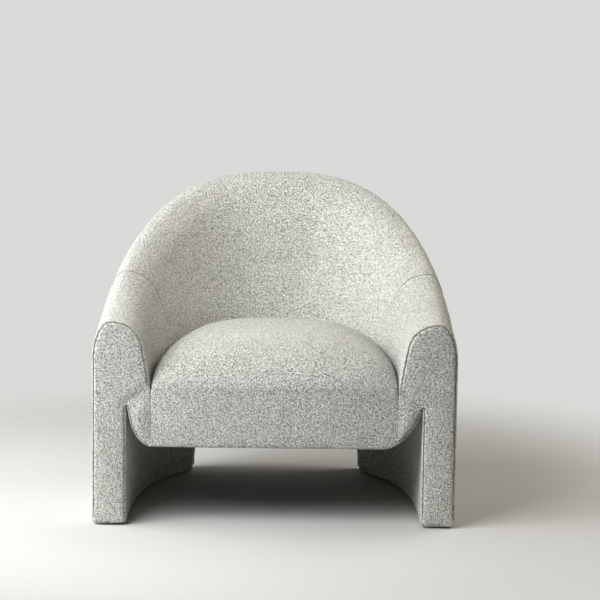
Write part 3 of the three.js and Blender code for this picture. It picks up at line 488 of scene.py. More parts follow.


# looped cloth: loops a little over 2 mm across, of a yarn that runs from pale to dark olive; the hollows
# between the loops get a painted shade
def boucleMaterial(name):
    material, tree, shader, place = newMaterial(name, 0.92)
    turned = patternAt(tree, "ShaderNodeMapping", place, "Vector", Rotation=boucle["turn"])
    yarn = noiseAt(tree, turned, boucle["yarnScale"], 0.0)
    loops = patternAt(tree, "ShaderNodeTexVoronoi", place, "Distance", Scale=boucle["loopScale"])
    top = addRamp(tree, loops, boucle["loopTop"])
    base = addRamp(tree, yarn, boucle["yarn"])
    # painted shade: the hollows between loops are darkened to stand in for the loops' own shadow
    base = addMix(tree, 1.0, base, addMix(tree, top, boucle["paintedHollowShade"], (1.0, 1.0, 1.0)), "MULTIPLY")
    patches = noiseAt(tree, place, 34.0, 3.0, Roughness=0.6)
    wear = noiseAt(tree, place, 5.0, 2.0)
    base = shaded(tree, base, patches, boucle["patches"])
    tree.links.new(shaded(tree, base, wear, boucle["wear"]), shader.inputs["Base Color"])
    fibre = noiseAt(tree, place, 900.0, 3.0, Roughness=0.6)
    fuzz = addMath(tree, "MULTIPLY", fibre, boucle["fuzz"])
    curls = addMath(tree, "ADD", top, yarn)
    addBump(tree, shader, addMath(tree, "ADD", curls, fuzz), boucle["bump"], boucle["loopHeight"])
    shader.inputs["Sheen Weight"].default_value = boucle["sheen"]
    shader.inputs["Sheen Roughness"].default_value = boucle["sheenRoughness"]
    shader.inputs["Specular IOR Level"].default_value = boucle["specular"]
    return material


def woodMaterial(name, light, dark, ringScale, stretch):
    material, tree, shader, place = newMaterial(name, 0.6)
    drawn = patternAt(tree, "ShaderNodeMapping", place, "Vector", Scale=stretch)
    rings = patternAt(tree, "ShaderNodeTexWave", drawn, Scale=ringScale, Distortion=6.0, Detail=3.0)
    pores = noiseAt(tree, drawn, 420.0, 2.0)
    colour = addRamp(tree, rings, [(0.1, dark), (0.75, light)])
    tree.links.new(shaded(tree, colour, pores, [(0.35, 0.86), (0.6, 1.03)]), shader.inputs["Base Color"])
    addBump(tree, shader, pores, 0.25, 0.0004)
    return material


def steelMaterial(name):
    material, tree, shader, place = newMaterial(name, 0.35, 1.0)
    drawn = noiseAt(tree, place, 160.0, 3.0)
    tone = addRamp(tree, drawn, [(0.3, (0.42, 0.42, 0.44)), (0.7, (0.60, 0.60, 0.62))])
    tree.links.new(tone, shader.inputs["Base Color"])
    tree.links.new(addRamp(tree, drawn, [(0.3, 0.28), (0.7, 0.48)]), shader.inputs["Roughness"])
    return material


# plain weave of warp and weft, for webbing and the dust cloth
def wovenMaterial(name, light, dark, pitch):
    material, tree, shader, place = newMaterial(name, 0.9)
    bands = {"Scale": 1 / pitch / 6.283, "Distortion": 0.6}
    warp = patternAt(tree, "ShaderNodeTexWave", place, bands_direction="X", **bands)
    weft = patternAt(tree, "ShaderNodeTexWave", place, bands_direction="Z", **bands)
    lint = noiseAt(tree, place, 300.0, 3.0)
    weave = addMath(tree, "MULTIPLY", warp, weft)
    weave = addMath(tree, "ADD", weave, addMath(tree, "MULTIPLY", lint, 0.5))
    tree.links.new(addRamp(tree, weave, [(0.15, dark), (0.9, light)]), shader.inputs["Base Color"])
    addBump(tree, shader, weave, 0.4, 0.0006)
    return material


# moulded plastic, and the thread, with a fine grain
def grainedMaterial(name, colour, roughness):
    material, tree, shader, place = newMaterial(name, roughness)
    grain = noiseAt(tree, place, 700.0, 2.0)
    dark, light = (tuple(v * share for v in colour) for share in (0.8, 1.25))
    tree.links.new(addRamp(tree, grain, [(0.3, dark), (0.7, light)]), shader.inputs["Base Color"])
    addBump(tree, shader, grain, 0.15, 0.0003)
    return material


boucleCloth = boucleMaterial("looped_cloth")
# the seam thread is painted dark partly for its own colour and partly as the seam's shadow
seamThreadAndShadow = grainedMaterial("seam_thread_and_shadow", (0.16, 0.155, 0.125), 0.85)
birchPly = woodMaterial("birch_plywood", (0.66, 0.50, 0.31), (0.50, 0.35, 0.20), 34.0, (1.0, 1.0, 3.0))
beech = woodMaterial("beech", (0.52, 0.35, 0.20), (0.38, 0.23, 0.12), 22.0, (0.4, 1.0, 2.0))
springWire = steelMaterial("spring_wire")
backWebbing = wovenMaterial("back_webbing", (0.13, 0.10, 0.08), (0.05, 0.04, 0.035), 0.0025)
blackFelt = wovenMaterial("dust_cloth", (0.030, 0.030, 0.031), (0.008, 0.008, 0.008), 0.0016)
blackPlastic = grainedMaterial("black_plastic", (0.018, 0.018, 0.018), 0.5)
print("materials made")

finishes = {
    "plywood": (birchPly, ("base_plate", "arm_front_board", "side_rib", "leg_end_rib", "back_upright")),
    "hardwood": (beech, (
        "arm_rail", "back_top_rail", "curved_back_rail", "corner_block",
        "seat_front_rail", "seat_side_rail", "seat_rear_rail")),
    "spring_steel": (springWire, ("seat_spring", "spring_clip")),
    "webbing": (backWebbing, ("back_webbing",)),
    "glide": (blackPlastic, ("glide",)),
}
for material, starts in finishes.values():
    for name, node in nodes.items():
        if name.startswith(starts):
            for slot in node.material_slots:
                slot.material = material
print("frame pieces finished")


def coverPiece(name, points, faces, replaced, fill):
    dress(addPiece(name, points, faces, boucleCloth), replaced)


# the padded wall: arms and back
padRows = {
    "outside": [0, 0.010, 0.022, 0.036, 0.054, 0.078, 0.11] + list(np.linspace(0.15, pi / 2, 24)),
    "inside": list(np.linspace(0, pi / 2, 26))[1:],
    "fall": list(np.linspace(0, 1, 44))[1:],
    "tuck": [0.34, 0.67, 1],
}
# the pads' backs lie on the foam's inner line: over the rail in the crest, then down to the deck
foamLine = {
    "inset": 0.0574, "railHalf": 0.0185, "railTop": 0.0465, "railBottom": 0.074, "railStep": 0.0015,
    "slopeEnd": 0.0225, "deck": 0.3106, "underCrease": 0.007,
}
boardBack = -0.3526  # rear of the arm front boards, behind which the wall holds foam
armPad = {
    "name": "arm", "rows": 46, "columns": 34, "cap": 0.008, "calm": 6,
    "step": 0.0045, "uneven": 0.0012, "straight": 0.1,  # length from the front that takes none of the slant
}
backPad = {
    "name": "back", "rows": 46, "columns": 90, "cap": 0.010, "calm": 14,
    "step": 0.0052, "uneven": 0.0014, "slantFade": 0.3,  # length from the join that takes the slant
}


def rollOf(st):
    share = eased(st["along"] / tub["rollChange"])
    return tuple(mix(a, b, share) for a, b in zip(tub["armRoll"], tub["backRoll"]))


# the section from the outside of the rim over the crest to the crease, as (inward, height)
def rimLine(st):
    width, drop, power = rollOf(st)
    fall = st["z"] - st["seatZ"]
    line = [(-tub["rimOut"] * cos(a), st["z"] - tub["rimDrop"] * (1 - sin(a))) for a in padRows["outside"]]
    for a in padRows["inside"]:
        depth = drop * (1 - cos(a))
        line.append((width * partner(cos(a), power) + (st["reach"] - width) * depth / fall, st["z"] - depth))
    for share in padRows["fall"]:
        depth = mix(drop, fall, share)
        line.append((width + (st["reach"] - width) * depth / fall, st["z"] - depth))
    return line


def padSection(st):
    line = rimLine(st)
    foot = min(foamLine["deck"], st["seatZ"] - foamLine["underCrease"])
    line += [(st["reach"], mix(st["seatZ"], foot, share)) for share in padRows["tuck"]]
    face = [sectionPoint(st, inward, z) for inward, z in line]
    if st["y"] < boardBack:
        flat = np.array(line)
        behind = flat - leftOf(flat) * cloth["thickness"]
        return face, [sectionPoint(st, inward, z) for inward, z in behind]
    half, top, bottom = foamLine["railHalf"], st["z"] - foamLine["railTop"], st["z"] - foamLine["railBottom"]
    inner = [(-half, bottom), (-half, top), (half, top), (half, bottom - foamLine["railStep"])]
    for share in (0, 0.25, 0.5, 0.75, 1):
        z = mix(bottom - foamLine["slopeEnd"], foot, share)
        inner.append((max(foamLine["inset"] - outOffset(st, z), 0), z))
    back = [(st["x"] - st["outX"] * o, st["y"] - st["outY"] * o, z) for o, z in resampled(inner, len(face))]
    return face, back


rowCounts = {key: len(rows) for key, rows in padRows.items()}
insidePlaces = np.linspace(0, 1, rowCounts["inside"])


# one value for each row of a pad, section by section
def rowShares(outside, inside, fall, tuck):
    return np.concatenate([
        np.full(rowCounts["outside"], outside), inside, fall, np.full(rowCounts["tuck"], tuck)])


slantShares = rowShares(0.0, [eased(v) for v in insidePlaces], np.ones(rowCounts["fall"]), 1.0)
slantSteps = 4


# columns of the pad: (side, run along the crest, how much of the seam's slant the column takes)
def padGrids(columns):
    faces, backs = [], []
    for side, run, slanted in columns:
        ends = [run + tub["seamSlant"] * slanted * k for k in np.linspace(0, 1, slantSteps + 1)]
        stations = [stationAt(side, angleAtRun(min(end, fullRun))) for end in ends]
        if slanted == 0:
            face, back = padSection(stations[0])
            faces.append(face)
            backs.append(back)
            continue
        pairs = [padSection(st) for st in stations]
        blended = []
        for part in (0, 1):
            layers = np.array([pair[part] for pair in pairs])
            place = slantShares * slantSteps
            low = np.minimum(place.astype(int), slantSteps - 1)
            rest = (place - low)[:, None]
            row = np.arange(layers.shape[1])
            blended.append(layers[low, row] * (1 - rest) + layers[low + 1, row] * rest)
        faces.append(blended[0])
        backs.append(blended[1])
    return np.array(faces).transpose(1, 0, 2), np.array(backs).transpose(1, 0, 2)


# the rim keeps its line; the face between roll and crease takes the padding
def plumpShares(face):
    swell = [mix(0.6, 1, eased(3 * v)) for v in padRows["fall"]]
    shares = rowShares(0.0, [0.6 * eased(v) for v in insidePlaces], swell, 0.0)
    return np.repeat(shares[:, None], face.shape[1], axis=1)


seamRun = runAtY(tub["front"] + tub["crestDepth"] * tub["seamPlace"])
startRun = runAtY(cloth["wrapStart"])
# the join of arm and back is pulled in most over the crest and less lower down
easing = [mix(1, 0.35, eased(2 * v)) for v in padRows["fall"]]
joinShares = rowShares(0.6, np.linspace(0.6, 1, rowCounts["inside"]), easing, 0.35)
joinEdge = (*fold["join"], joinShares)

for side, end in bothSides:
    straight = armPad["straight"]
    runs = startRun + spreadOut(seamRun - cloth["seam"] - startRun, armPad["step"])
    slants = [eased((r - startRun - straight) / (seamRun - startRun - straight)) for r in runs]
    face, back = padGrids([(side, r, slanted) for r, slanted in zip(runs, slants)])
    face = plumpUp(face, back, armPad, plumpShares(face))
    face = uneven(face, back, armPad["uneven"])
    face, back = wrapFront(face, back, "firstColumn", {"lastColumn": joinEdge, "firstRow": fold["rim"]})
    replaced = [f"arm_cover_{end}", f"arm_foam_{end}"]
    coverPiece(f"arm_pad_{end}", *shellParts(face, back), replaced, 0.9)

half = seamRun + spreadOut(fullRun - seamRun, backPad["step"], True, False)
columns = [(-1, r, eased(1 - (r - seamRun) / backPad["slantFade"])) for r in half]
columns += [(1, r, slanted) for _, r, slanted in columns[-2::-1]]
face, back = padGrids(columns)
face = plumpUp(face, back, backPad, plumpShares(face))
face = uneven(face, back, backPad["uneven"])
backEdges = {"firstColumn": joinEdge, "lastColumn": joinEdge, "firstRow": fold["rim"]}
face, back = softenEdges(face, back, backEdges)
coverPiece("back_pad", *shellParts(face, back), ["inside_back_cover", "back_foam"], 0.9)
print("wall pads made")


# the seat: one crowned pad, from its rolled lower front edge to the back crease
seatPad = {"name": "seat", "rows": 60, "columns": 54, "cap": 0.007, "calm": 8, "uneven": 0.0014}
springArch = {"height": 0.3006, "rise": 0.010, "middle": -0.11, "half": 0.22}  # under the seat's foam
plumpness = {"roll": 0.0, "face": 0.5, "round": 1.0, "top": 1.0}  # how much each part of the seat swells


def tuckShare(z):  # how far the corner of the seat is pulled in at a height
    return mix(seat["tuckLeast"], 1, eased((z - seat["crease"] + seat["tuckHeight"]) / seat["tuckHeight"]))


def seatRow(kind, value, shares):
    half = seat["half"] - seat["frontSeam"]
    radius, front = seat["lowerRoll"], tub["front"]
    faceRow, backRow = [], []
    for s in shares:
        crown = seat["bulge"] * (1 - s * s)
        if kind in ("roll", "face"):
            x = half * s
            bottom = podHeight(-1 if x < 0 else 1, x, notchX) + cloth["seam"]
            if kind == "roll":
                y = front - crown + radius * (1 - sin(value))
                z = bottom + radius * (1 - cos(value))
            else:
                y = front - crown
                z = mix(bottom + radius, seat["crease"], value)
            backRow.append((x, front + seat["boardClear"], z))
        else:
            if kind == "round":
                meet = seat["frontRadius"] * (1 - cos(value)) / seat["depth"]
                top = mix(seat["crease"], seat["top"], sin(value))
                puff = crown * (1 - sin(value))
            else:
                meet = value
                fall = max((meet - 0.5) / 0.5, 0) ** 2
                top = mix(seat["top"], seat["crease"] + seat["creaseRise"] + cloth["seam"], fall)
                puff = 0
            edge = seat["crease"] + seat["creaseRise"] * meet
            x = max(seat["half"] * partner(meet, seat["planPower"]) - 2 * cloth["seam"], 0.002) * s
            y = front + seat["depth"] * meet - puff - 2 * cloth["seam"] * meet * meet
            z = edge + (top - edge) * partner(s, seat["shoulderPower"])
            lift = springArch["rise"] * (1 - min(abs(y - springArch["middle"]) / springArch["half"], 1) ** 2)
            under = min(springArch["height"] + lift, z - 0.001)
            backRow.append((x, max(y, front + seat["boardClear"]), under))
        faceRow.append((x, y, z))
    return faceRow, backRow


half = seat["half"]
shares = np.sin(np.linspace(-pi / 2, pi / 2, 150))
edges = np.array(fineEdge) / half
shares = np.unique(np.concatenate([shares[np.abs(shares) < 1 - edges[-1]], -1 + edges, 1 - edges]))
startTurn = np.arcsin((seat["frontRadius"] / seat["depth"]) ** (seat["planPower"] / 2))
seatRows = [("roll", turn) for turn in np.linspace(0, pi / 2, 7)]
seatRows += [("face", share) for share in np.linspace(0, 1, 32)[1:]]
seatRows += [("round", turn) for turn in np.linspace(0, pi / 2, 30)[1:]]
turns = np.linspace(startTurn, pi / 2 - 0.012, 96)[1:]  # stops just short of the rear middle
seatRows += [("top", sin(turn) ** (2 / seat["planPower"])) for turn in turns]
pairs = [seatRow(kind, value, shares) for kind, value in seatRows]
face, back = np.array([p[0] for p in pairs]), np.array([p[1] for p in pairs])
weights = np.array([plumpness[kind] for kind, _ in seatRows])
face = plumpUp(face, back, seatPad, np.repeat(weights[:, None], len(shares), axis=1))
face = uneven(face, back, seatPad["uneven"])
pull = np.array([
    tuckShare(z) if kind in ("roll", "face") else 1.0 for (kind, _), z in zip(seatRows, face[:, 0, 2])])
seatEdge = (*fold["seat"], pull)
face, back = softenEdges(face, back, {"firstColumn": seatEdge, "lastColumn": seatEdge})
coverPiece("seat_pad", *shellParts(face, back), ["seat_cover", "seat_foam"], 1.0)
print("seat pad made")


# covers that stand on the floor: outside, leg linings
wallCover = {"outside": 0.007, "lining": 0.008, "rows": 0.008, "uneven": 0.0010}  # steps, and unevenness


def wallColumns(inset, step):
    footAngle = angleAtX(arch["half"], leg["lift"], inset)
    footRun = float(np.interp(footAngle, crestAngles, crestRuns))
    runs = startRun + spreadOut(footRun - startRun, step, True, False)[:-1]
    columns = [(angleAtRun(run), leg["lift"]) for run in runs]
    for share in np.linspace(0, 1, 46):
        x = arch["half"] * cos(share * pi / 2)
        z = max(archHeight(x), leg["lift"])
        columns.append((angleAtX(x, z, inset) if share < 1 else pi / 2, z))
    return columns


def wallGrids(columns, sides, insets, topOf, step):
    order = []
    if -1 in sides:
        order += [(-1, a, b) for a, b in columns]
    if 1 in sides:
        order += [(1, a, b) for a, b in list(reversed(columns))[1 if -1 in sides else 0:]]
    longest = max(topOf(stationAt(s, a)) - b for s, a, b in order)
    shares = spreadOut(longest, step) / longest
    grids = []
    for inset in insets:
        grid = []
        for side, angle, bottom in order:
            st = stationAt(side, angle)
            grid.append([wallPoint(st, mix(bottom, topOf(st), s), inset) for s in shares])
        grids.append(np.array(grid).transpose(1, 0, 2))
    return grids


# the foot turns in fully on the floor, and a third as far along the arch
footTurn = {"until": 0.05, "over": 0.04, "least": 0.35}


def footShares(face):
    return np.clip((footTurn["until"] - face[0, :, 2]) / footTurn["over"], footTurn["least"], 1)


face, back = wallGrids(
    wallColumns(0, wallCover["outside"]), (-1, 1), (0, cloth["thickness"]),
    lambda st: st["z"] - tub["rimDrop"] - cloth["rimSeam"], wallCover["rows"])
face = uneven(face, back, wallCover["uneven"])
footEdge = (*fold["foot"], footShares(face))
face, back = wrapFront(face, back, "firstColumn", {"lastRow": fold["rim"], "firstRow": footEdge})
face, back = wrapFront(face, back, "lastColumn", {})
coverPiece("outside_panel", *shellParts(face, back), ["outside_cover"], 1.0)

for side, end in bothSides:
    columns = wallColumns(leg["thickness"], wallCover["lining"])
    columns[-1] = (columns[-1][0] - leg["liningGap"], columns[-1][1])  # the linings stop short of each other
    face, back = wallGrids(
        columns, (side,), (leg["thickness"], leg["thickness"] - cloth["thickness"]),
        lambda st: podHeight(side, wallPoint(st, pod["bottom"], leg["thickness"])[0], notchX),
        wallCover["rows"])
    frontEdge = "firstColumn" if side < 0 else "lastColumn"
    face, back = wrapFront(face, back, frontEdge, {"firstRow": (*fold["lining"], footShares(face))})
    coverPiece(f"leg_lining_panel_{end}", *shellParts(face, back), [f"leg_lining_{end}"], 1.0)

# the band in the rear opening, between the lining and the outside cover
bandClear = 0.0056
bandShares = [0, 0.015, 0.04, 0.08, 0.14, 0.22, 0.32, 0.43, 0.57, 0.68, 0.78, 0.86, 0.92, 0.96, 0.985, 1]
line = []
for share in np.linspace(-1, 1, 93):
    x = arch["half"] * cos((1 - abs(share)) * pi / 2) * (1 if share > 0 else -1)
    line.append((x, max(archHeight(x), leg["lift"])))
line = np.array(line)
raised = line + leftOf(line) * cloth["thickness"]


def bandGrid(points, sourceLine):
    grid = []
    for (x, z), (sx, sz) in zip(points, sourceLine):
        ends = []
        for inset in (leg["thickness"] - bandClear, bandClear):
            angle = pi / 2 if abs(sx) < 0.0005 else angleAtX(abs(sx), sz, inset)
            ends.append(wallPoint(stationAt(1, angle), sz, inset)[1])
        grid.append([(x, mix(ends[0], ends[1], s), z) for s in bandShares])
    return np.array(grid)


face, back = bandGrid(line, line), bandGrid(raised, line)
face, back = softenEdges(face, back, {"firstColumn": fold["arch"], "lastColumn": fold["arch"]})
coverPiece("rear_arch_band", *shellParts(face, back), ["rear_arch_cover"], 1.0)

# rounded lower corners of the pod; in front they reach past the seat pad to the arm fronts
underside = {
    "rearWidth": 0.012, "leastWidth": 0.006, "step": 0.008,
    "seatSide": (0.2782, 0.2785, 0.2788),  # last point under the seat pad, its side, first point beyond
    "wide": 0.285, "underPoints": 10, "beyondPoints": 24, "seatStart": -0.3636, "seatWrap": 0.2,
}


def podWall(angle):
    return wallPoint(stationAt(1, angle), pod["bottom"], leg["thickness"])


podEnd = podWall(angleAtX(pod["inner"] + underside["rearWidth"], pod["bottom"], leg["thickness"]))[1]
lastUnder, seatSide, firstBeyond = underside["seatSide"]
underCount, beyondCount = underside["underPoints"], underside["beyondPoints"]
for side, end in bothSides:
    corner = cornerLine(side, pod["inner"], notchX)
    face, back = [], []
    for run in startRun + spreadOut(runAtY(podEnd) - startRun, underside["step"], True, False):
        wall = podWall(angleAtRun(run))
        way = (wall[1] - cloth["wrapStart"]) / (podEnd - cloth["wrapStart"])
        if wall[0] - pod["inner"] < underside["leastWidth"]:
            break
        outer = wall[0] - cloth["seam"]
        xs = np.linspace(pod["inner"], outer, underCount + beyondCount)
        if wall[0] > underside["wide"]:
            beyond = mix(firstBeyond, outer, np.sin(np.linspace(0, pi / 2, beyondCount)))
            xs = np.concatenate([np.linspace(pod["inner"], lastUnder, underCount), beyond])
        low = np.stack([xs, np.interp(xs, *corner)], axis=1)
        high = low + leftOf(low) * cloth["thickness"]
        high[0, 0], high[-1, 0] = low[0, 0], low[-1, 0]
        starts = [underside["seatStart"] if x < seatSide else cloth["wrapStart"] for x in xs]
        ys = [mix(start, podEnd, way) for start in starts]
        face.append([(side * x, y, z) for (x, z), y in zip(low, ys)])
        back.append([(side * x, y, z) for (x, z), y in zip(high, ys)])
    face, back = np.array(face), np.array(back)
    wrapShares = np.ones(underCount + beyondCount)
    wrapShares[:underCount] = underside["seatWrap"]
    face, back = wrapFront(face, back, "firstRow", {}, wrapShares)
    coverPiece(f"underside_panel_{end}", *shellParts(face, back), [f"underside_cover_{end}"], 1.0)
print("outside, linings, arch and underside made")


# arm fronts: padded panels with a rounded edge all round, sewn in a little behind the corner
panel = {
    "inset": 0.0043, "footInset": -0.0014, "footRise": 0.025, "edgeRadius": 0.0065, "edgeDepth": 0.0042,
    "crown": 0.0026, "crownWidth": 0.034,
    "step": 0.0028, "spacing": 0.0050, "lastRing": 0.0165, "fillFrom": 0.0195,
    "footRound": (0.009, 0.014),  # radius of the outer and the inner bottom corner
    # a soft valley runs from the seat's corner to the notch, with a pillow below it
    "valley": ((0.276, 0.322), (0.330, 0.281), 0.0042, 0.0125), "pillow": ((0.301, 0.246), 0.0030, 0.021),
    "waves": (0.0008, 14, 0.02),  # height, scale, and the distance from the edge where they are full
    "outlineStep": 0.0015, "outlineCalm": 4, "seatZone": (0.0035, 0.002),
    "seatFade": ((0.004, 0.016), (0.0015, 0.004)),  # where the inset ends at the seat: up, sideways
}


# outline of an arm front in X and Z, turning anticlockwise as on the right side
def armFrontLine(side):
    st = stationAt(1, angleAtRun(startRun))
    base = leg["lift"]
    outerX, innerX = wallPoint(st, base, 0)[0], wallPoint(st, base, leg["thickness"])[0]
    outerR, innerR = panel["footRound"]
    turns = np.linspace(0, pi / 2, 12)
    line = [(outerX - outerR * (1 - sin(a)), base + outerR * (1 - cos(a))) for a in turns]
    rollStart = st["z"] - tub["rimDrop"]
    line += [(wallPoint(st, z, 0)[0], z) for z in np.linspace(base + outerR, rollStart, 110)[1:]]
    rim = [sectionPoint(st, inward, z) for inward, z in rimLine(st)]
    line += [(x, z) for x, _, z in rim[1:]]
    seamX = seat["half"] + seat["frontSeam"]
    line[-1] = (seamX, line[-1][1])
    cornerX, cornerZ = cornerLine(side, pod["inner"], notchX)
    low = float(np.interp(seamX, cornerX, cornerZ))
    line += [(seamX, z) for z in np.linspace(line[-1][1], low, 60)[1:]]
    line += [(x, z) for x, z in zip(cornerX, cornerZ) if x > seamX + 0.0004]
    inside = np.linspace(pod["notch"] - 0.001, base + innerR, 80)
    line += [(wallPoint(st, z, leg["thickness"])[0], z) for z in inside]
    turns = np.linspace(0, pi / 2, 14)[1:]
    line += [(innerX + innerR * (1 - cos(a)), base + innerR * (1 - sin(a))) for a in turns]
    return line


def evenLine(line, step):  # a closed line, in even steps
    closed = np.array(list(line) + [line[0]])
    return resampled(closed, int(runLengths(closed)[-1] / step) + 1)[:-1]


def roundedLine(points, passes):
    for _ in range(passes):
        points = (np.roll(points, 1, axis=0) + 2 * points + np.roll(points, -1, axis=0)) / 4
    return points


def lineNormals(points):
    way = np.roll(points, -1, axis=0) - np.roll(points, 1, axis=0)
    way /= np.linalg.norm(way, axis=1, keepdims=True)
    return np.stack([-way[:, 1], way[:, 0]], axis=1)


def distanceTo(points, line):
    ends = np.roll(line, -1, axis=0)
    best = np.full(len(points), 9.0)
    for start in range(0, len(points), 400):
        p = points[start:start + 400, None, :]
        d = ends - line
        t = np.clip(((p - line) * d).sum(2) / (d * d).sum(1), 0, 1)
        gap = np.linalg.norm(p - (line + d * t[:, :, None]), axis=2)
        best[start:start + 400] = gap.min(1)
    return best


# places on the straight seam between the arm front and the seat's face
def besideSeat(points):
    width, height = panel["seatZone"]
    return (points[:, 0] < seat["half"] + width) & (points[:, 1] < seat["crease"] + height)


def panelOutline(side):
    line = roundedLine(evenLine(armFrontLine(side), panel["outlineStep"]), panel["outlineCalm"])
    rise = np.array([eased((z - leg["lift"]) / panel["footRise"]) for z in line[:, 1]])
    inset = mix(panel["footInset"], panel["inset"], rise)
    (below, fadeUp), (beside, fadeOut) = panel["seatFade"]
    nearSeat = np.array([1 - eased((z - seat["crease"] + below) / fadeUp) for z in line[:, 1]])
    nearSeat *= np.array([1 - eased((x - seat["half"] - beside) / fadeOut) for x in line[:, 0]])
    inset = mix(inset, 0, nearSeat)
    line = line + lineNormals(line) * inset[:, None]
    return evenLine(roundedLine(line, 1), panel["step"])


# triangles that fill an outline and use the points inside it
def filled(outline, inner):
    points = [Vector(p) for p in np.concatenate([outline, *inner])]
    made = delaunay_2d_cdt(points, [], [list(range(len(outline)))], 1, 1e-7)
    return np.array([tuple(v) for v in made[0]]), [tuple(t) for t in made[2]]


def panelPoints(outline):
    inner = []
    for depth in fineEdge[1:] + [panel["lastRing"]]:
        moved = outline + lineNormals(outline) * depth
        inner.append(moved[distanceTo(moved, outline) > depth - 0.0003])
    low, high = outline.min(0), outline.max(0)
    spacing = panel["spacing"]
    for i, z in enumerate(np.arange(low[1], high[1], spacing * 0.866)):
        xs = np.arange(low[0] + (i % 2) * spacing / 2, high[0], spacing)
        row = np.stack([xs, np.full(len(xs), z)], axis=1)
        inner.append(row[distanceTo(row, outline) > panel["fillFrom"]])
    return filled(outline, inner)


def segmentGap(points, start, end):
    start, end = np.array(start), np.array(end)
    t = np.clip(((points - start) @ (end - start)) / ((end - start) @ (end - start)), 0, 1)
    return np.linalg.norm(points - start - t[:, None] * (end - start), axis=1)


def panelDepth(flat, outline):
    fromEdge = distanceTo(flat, outline)
    other = outline[~besideSeat(outline)]
    fromOther = np.linalg.norm(flat[:, None, :] - other[None, :, :], axis=2).min(1)
    fromSeat = np.abs(flat[:, 0] - seat["half"]) + np.clip(flat[:, 1] - seat["crease"], 0, 1) * 3
    pull = np.array([tuckShare(z) for z in flat[:, 1]])
    seatSink = pull * (1 - quarterRound(fromSeat / fold["seat"][0]))
    sink = np.maximum(1 - quarterRound(fromOther / panel["edgeRadius"]), seatSink)
    crown = 1 - (1 - np.clip(fromEdge / panel["crownWidth"], 0, 1)) ** 2
    out = panel["edgeDepth"] * (1 - sink) + panel["crown"] * crown
    start, end, depth, width = panel["valley"]
    inside = np.clip(fromOther / 0.008, 0, 1)
    out -= depth * np.exp(-(segmentGap(flat, start, end) / width) ** 2) * inside
    centre, height, width = panel["pillow"]
    out += height * np.exp(-(np.linalg.norm(flat - np.array(centre), axis=1) / width) ** 2) * inside
    height, scale, reach = panel["waves"]
    waves = np.array([noise.noise(Vector((x, 3.1, z)) * scale) for x, z in flat])
    return out + height * waves * np.clip(fromEdge / reach, 0, 1)


panelLines = {}
for side, end in bothSides:
    outline = panelLines[side] = panelOutline(side)
    flat, triangles = panelPoints(outline)
    depth = panelDepth(flat, outline)
    rimCount, start = len(outline), len(flat)
    points = [(side * x, cloth["frontPanel"] - d, z) for (x, z), d in zip(flat, depth)]
    points += [(side * x, cloth["frontPanel"] + 0.0004, z) for x, z in flat[:rimCount]]
    faces = triangles + ringFaces(rimCount, 0, start)
    faces.append(tuple(start + i for i in range(rimCount)))
    coverPiece(f"arm_front_panel_{end}", points, faces, [f"arm_front_cover_{end}"], 1.0)
print("arm fronts made:", len(flat), "points each")


# dust cloth: one sheet stapled round the pod's underside, a little slack
dust = {
    "reach": 0.2345, "start": -0.365, "step": 0.008, "spacing": 0.012, "edgeGap": 0.006,
    "sag": 0.005, "sagReach": 0.06, "thickness": 0.0012, "gap": 0.0004,
}
outline = [(dust["reach"], dust["start"])]
for run in np.linspace(runAtY(0.0), fullRun, 60):
    p = wallPoint(stationAt(1, angleAtRun(run)), pod["bottom"], leg["thickness"] + 0.001)
    if p[1] > 0:
        outline.append((min(p[0], dust["reach"]), p[1]))
outline += [(-x, y) for x, y in reversed(outline) if x > 0.001]
dustLine = evenLine(outline, dust["step"])
low, high = dustLine.min(0), dustLine.max(0)
xs, ys = np.meshgrid(*(np.arange(low[i], high[i], dust["spacing"]) for i in (0, 1)))
inside = np.stack([xs.ravel(), ys.ravel()], axis=1)
within = (np.abs(inside[:, 0]) < dust["reach"]) & (inside[:, 1] > dust["start"])
inside = inside[within & (distanceTo(inside, dustLine) > dust["edgeGap"])]
flatDust, triangles = filled(dustLine, [inside])
sag = dust["sag"] * (1 - np.exp(-distanceTo(flatDust, dustLine) / dust["sagReach"]))
count = len(flatDust)
points = [(x, y, pod["bottom"] + dust["gap"] - s) for (x, y), s in zip(flatDust, sag)]
points += [(x, y, z + dust["thickness"]) for x, y, z in points]
faces = triangles + [tuple(count + v for v in reversed(t)) for t in triangles]
faces += ringFaces(len(dustLine), 0, count)
dustSheet = addPiece("dust_sheet", points, faces, blackFelt)
dress(dustSheet, ["dust_cloth"])
print("dust cloth made")


# sewn lines: a thin dark thread that lies in each seam; its dark colour is partly the thread's own and partly
# a painted shadow of the seam
seam = {
    "frontRadius": 0.0008, "frontSunk": 0.0014, "lowest": 0.014, "fewest": 6,
    "joinRadius": 0.0005, "joinStart": 2, "joinFall": 22, "joinFade": (2.2, 0.1),
    "across": (0.31, 0.22, 0.93),  # helps to lay out the thread's round section
}


def threadAlong(name, points, radius, fade=1.0):
    path = np.array(points)
    way = unitSteps(path)
    across = np.cross(way, np.array(seam["across"]))
    across /= np.linalg.norm(across, axis=1, keepdims=True)
    third = np.cross(way, across)
    ring = [(cos(t), sin(t)) for t in np.linspace(0, 2 * pi, 7)[:-1]]
    rings = zip(path, across, third, radius * np.ones(len(path)) * fade)
    verts = [tuple(p + (a * c + t * s) * r) for p, a, t, r in rings for c, s in ring]
    faces = []
    for i in range(0, len(verts) - 6, 6):
        faces += ringFaces(6, i, i + 6)
    faces += [tuple(range(6)), tuple(range(len(verts) - 6, len(verts)))]
    thread = addPiece(name, verts, faces, seamThreadAndShadow, 80)
    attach(thread, "root")


def cutRuns(points, keep):  # splits a closed line into the stretches that are kept
    start = int(np.flatnonzero(~keep)[0])
    points, keep = np.roll(points, -start, axis=0), np.roll(keep, -start)
    runs, current = [], []
    for p, wanted in zip(points, keep):
        if wanted:
            current.append(p)
        elif current:
            runs.append(current)
            current = []
    return runs + [current] if current else runs


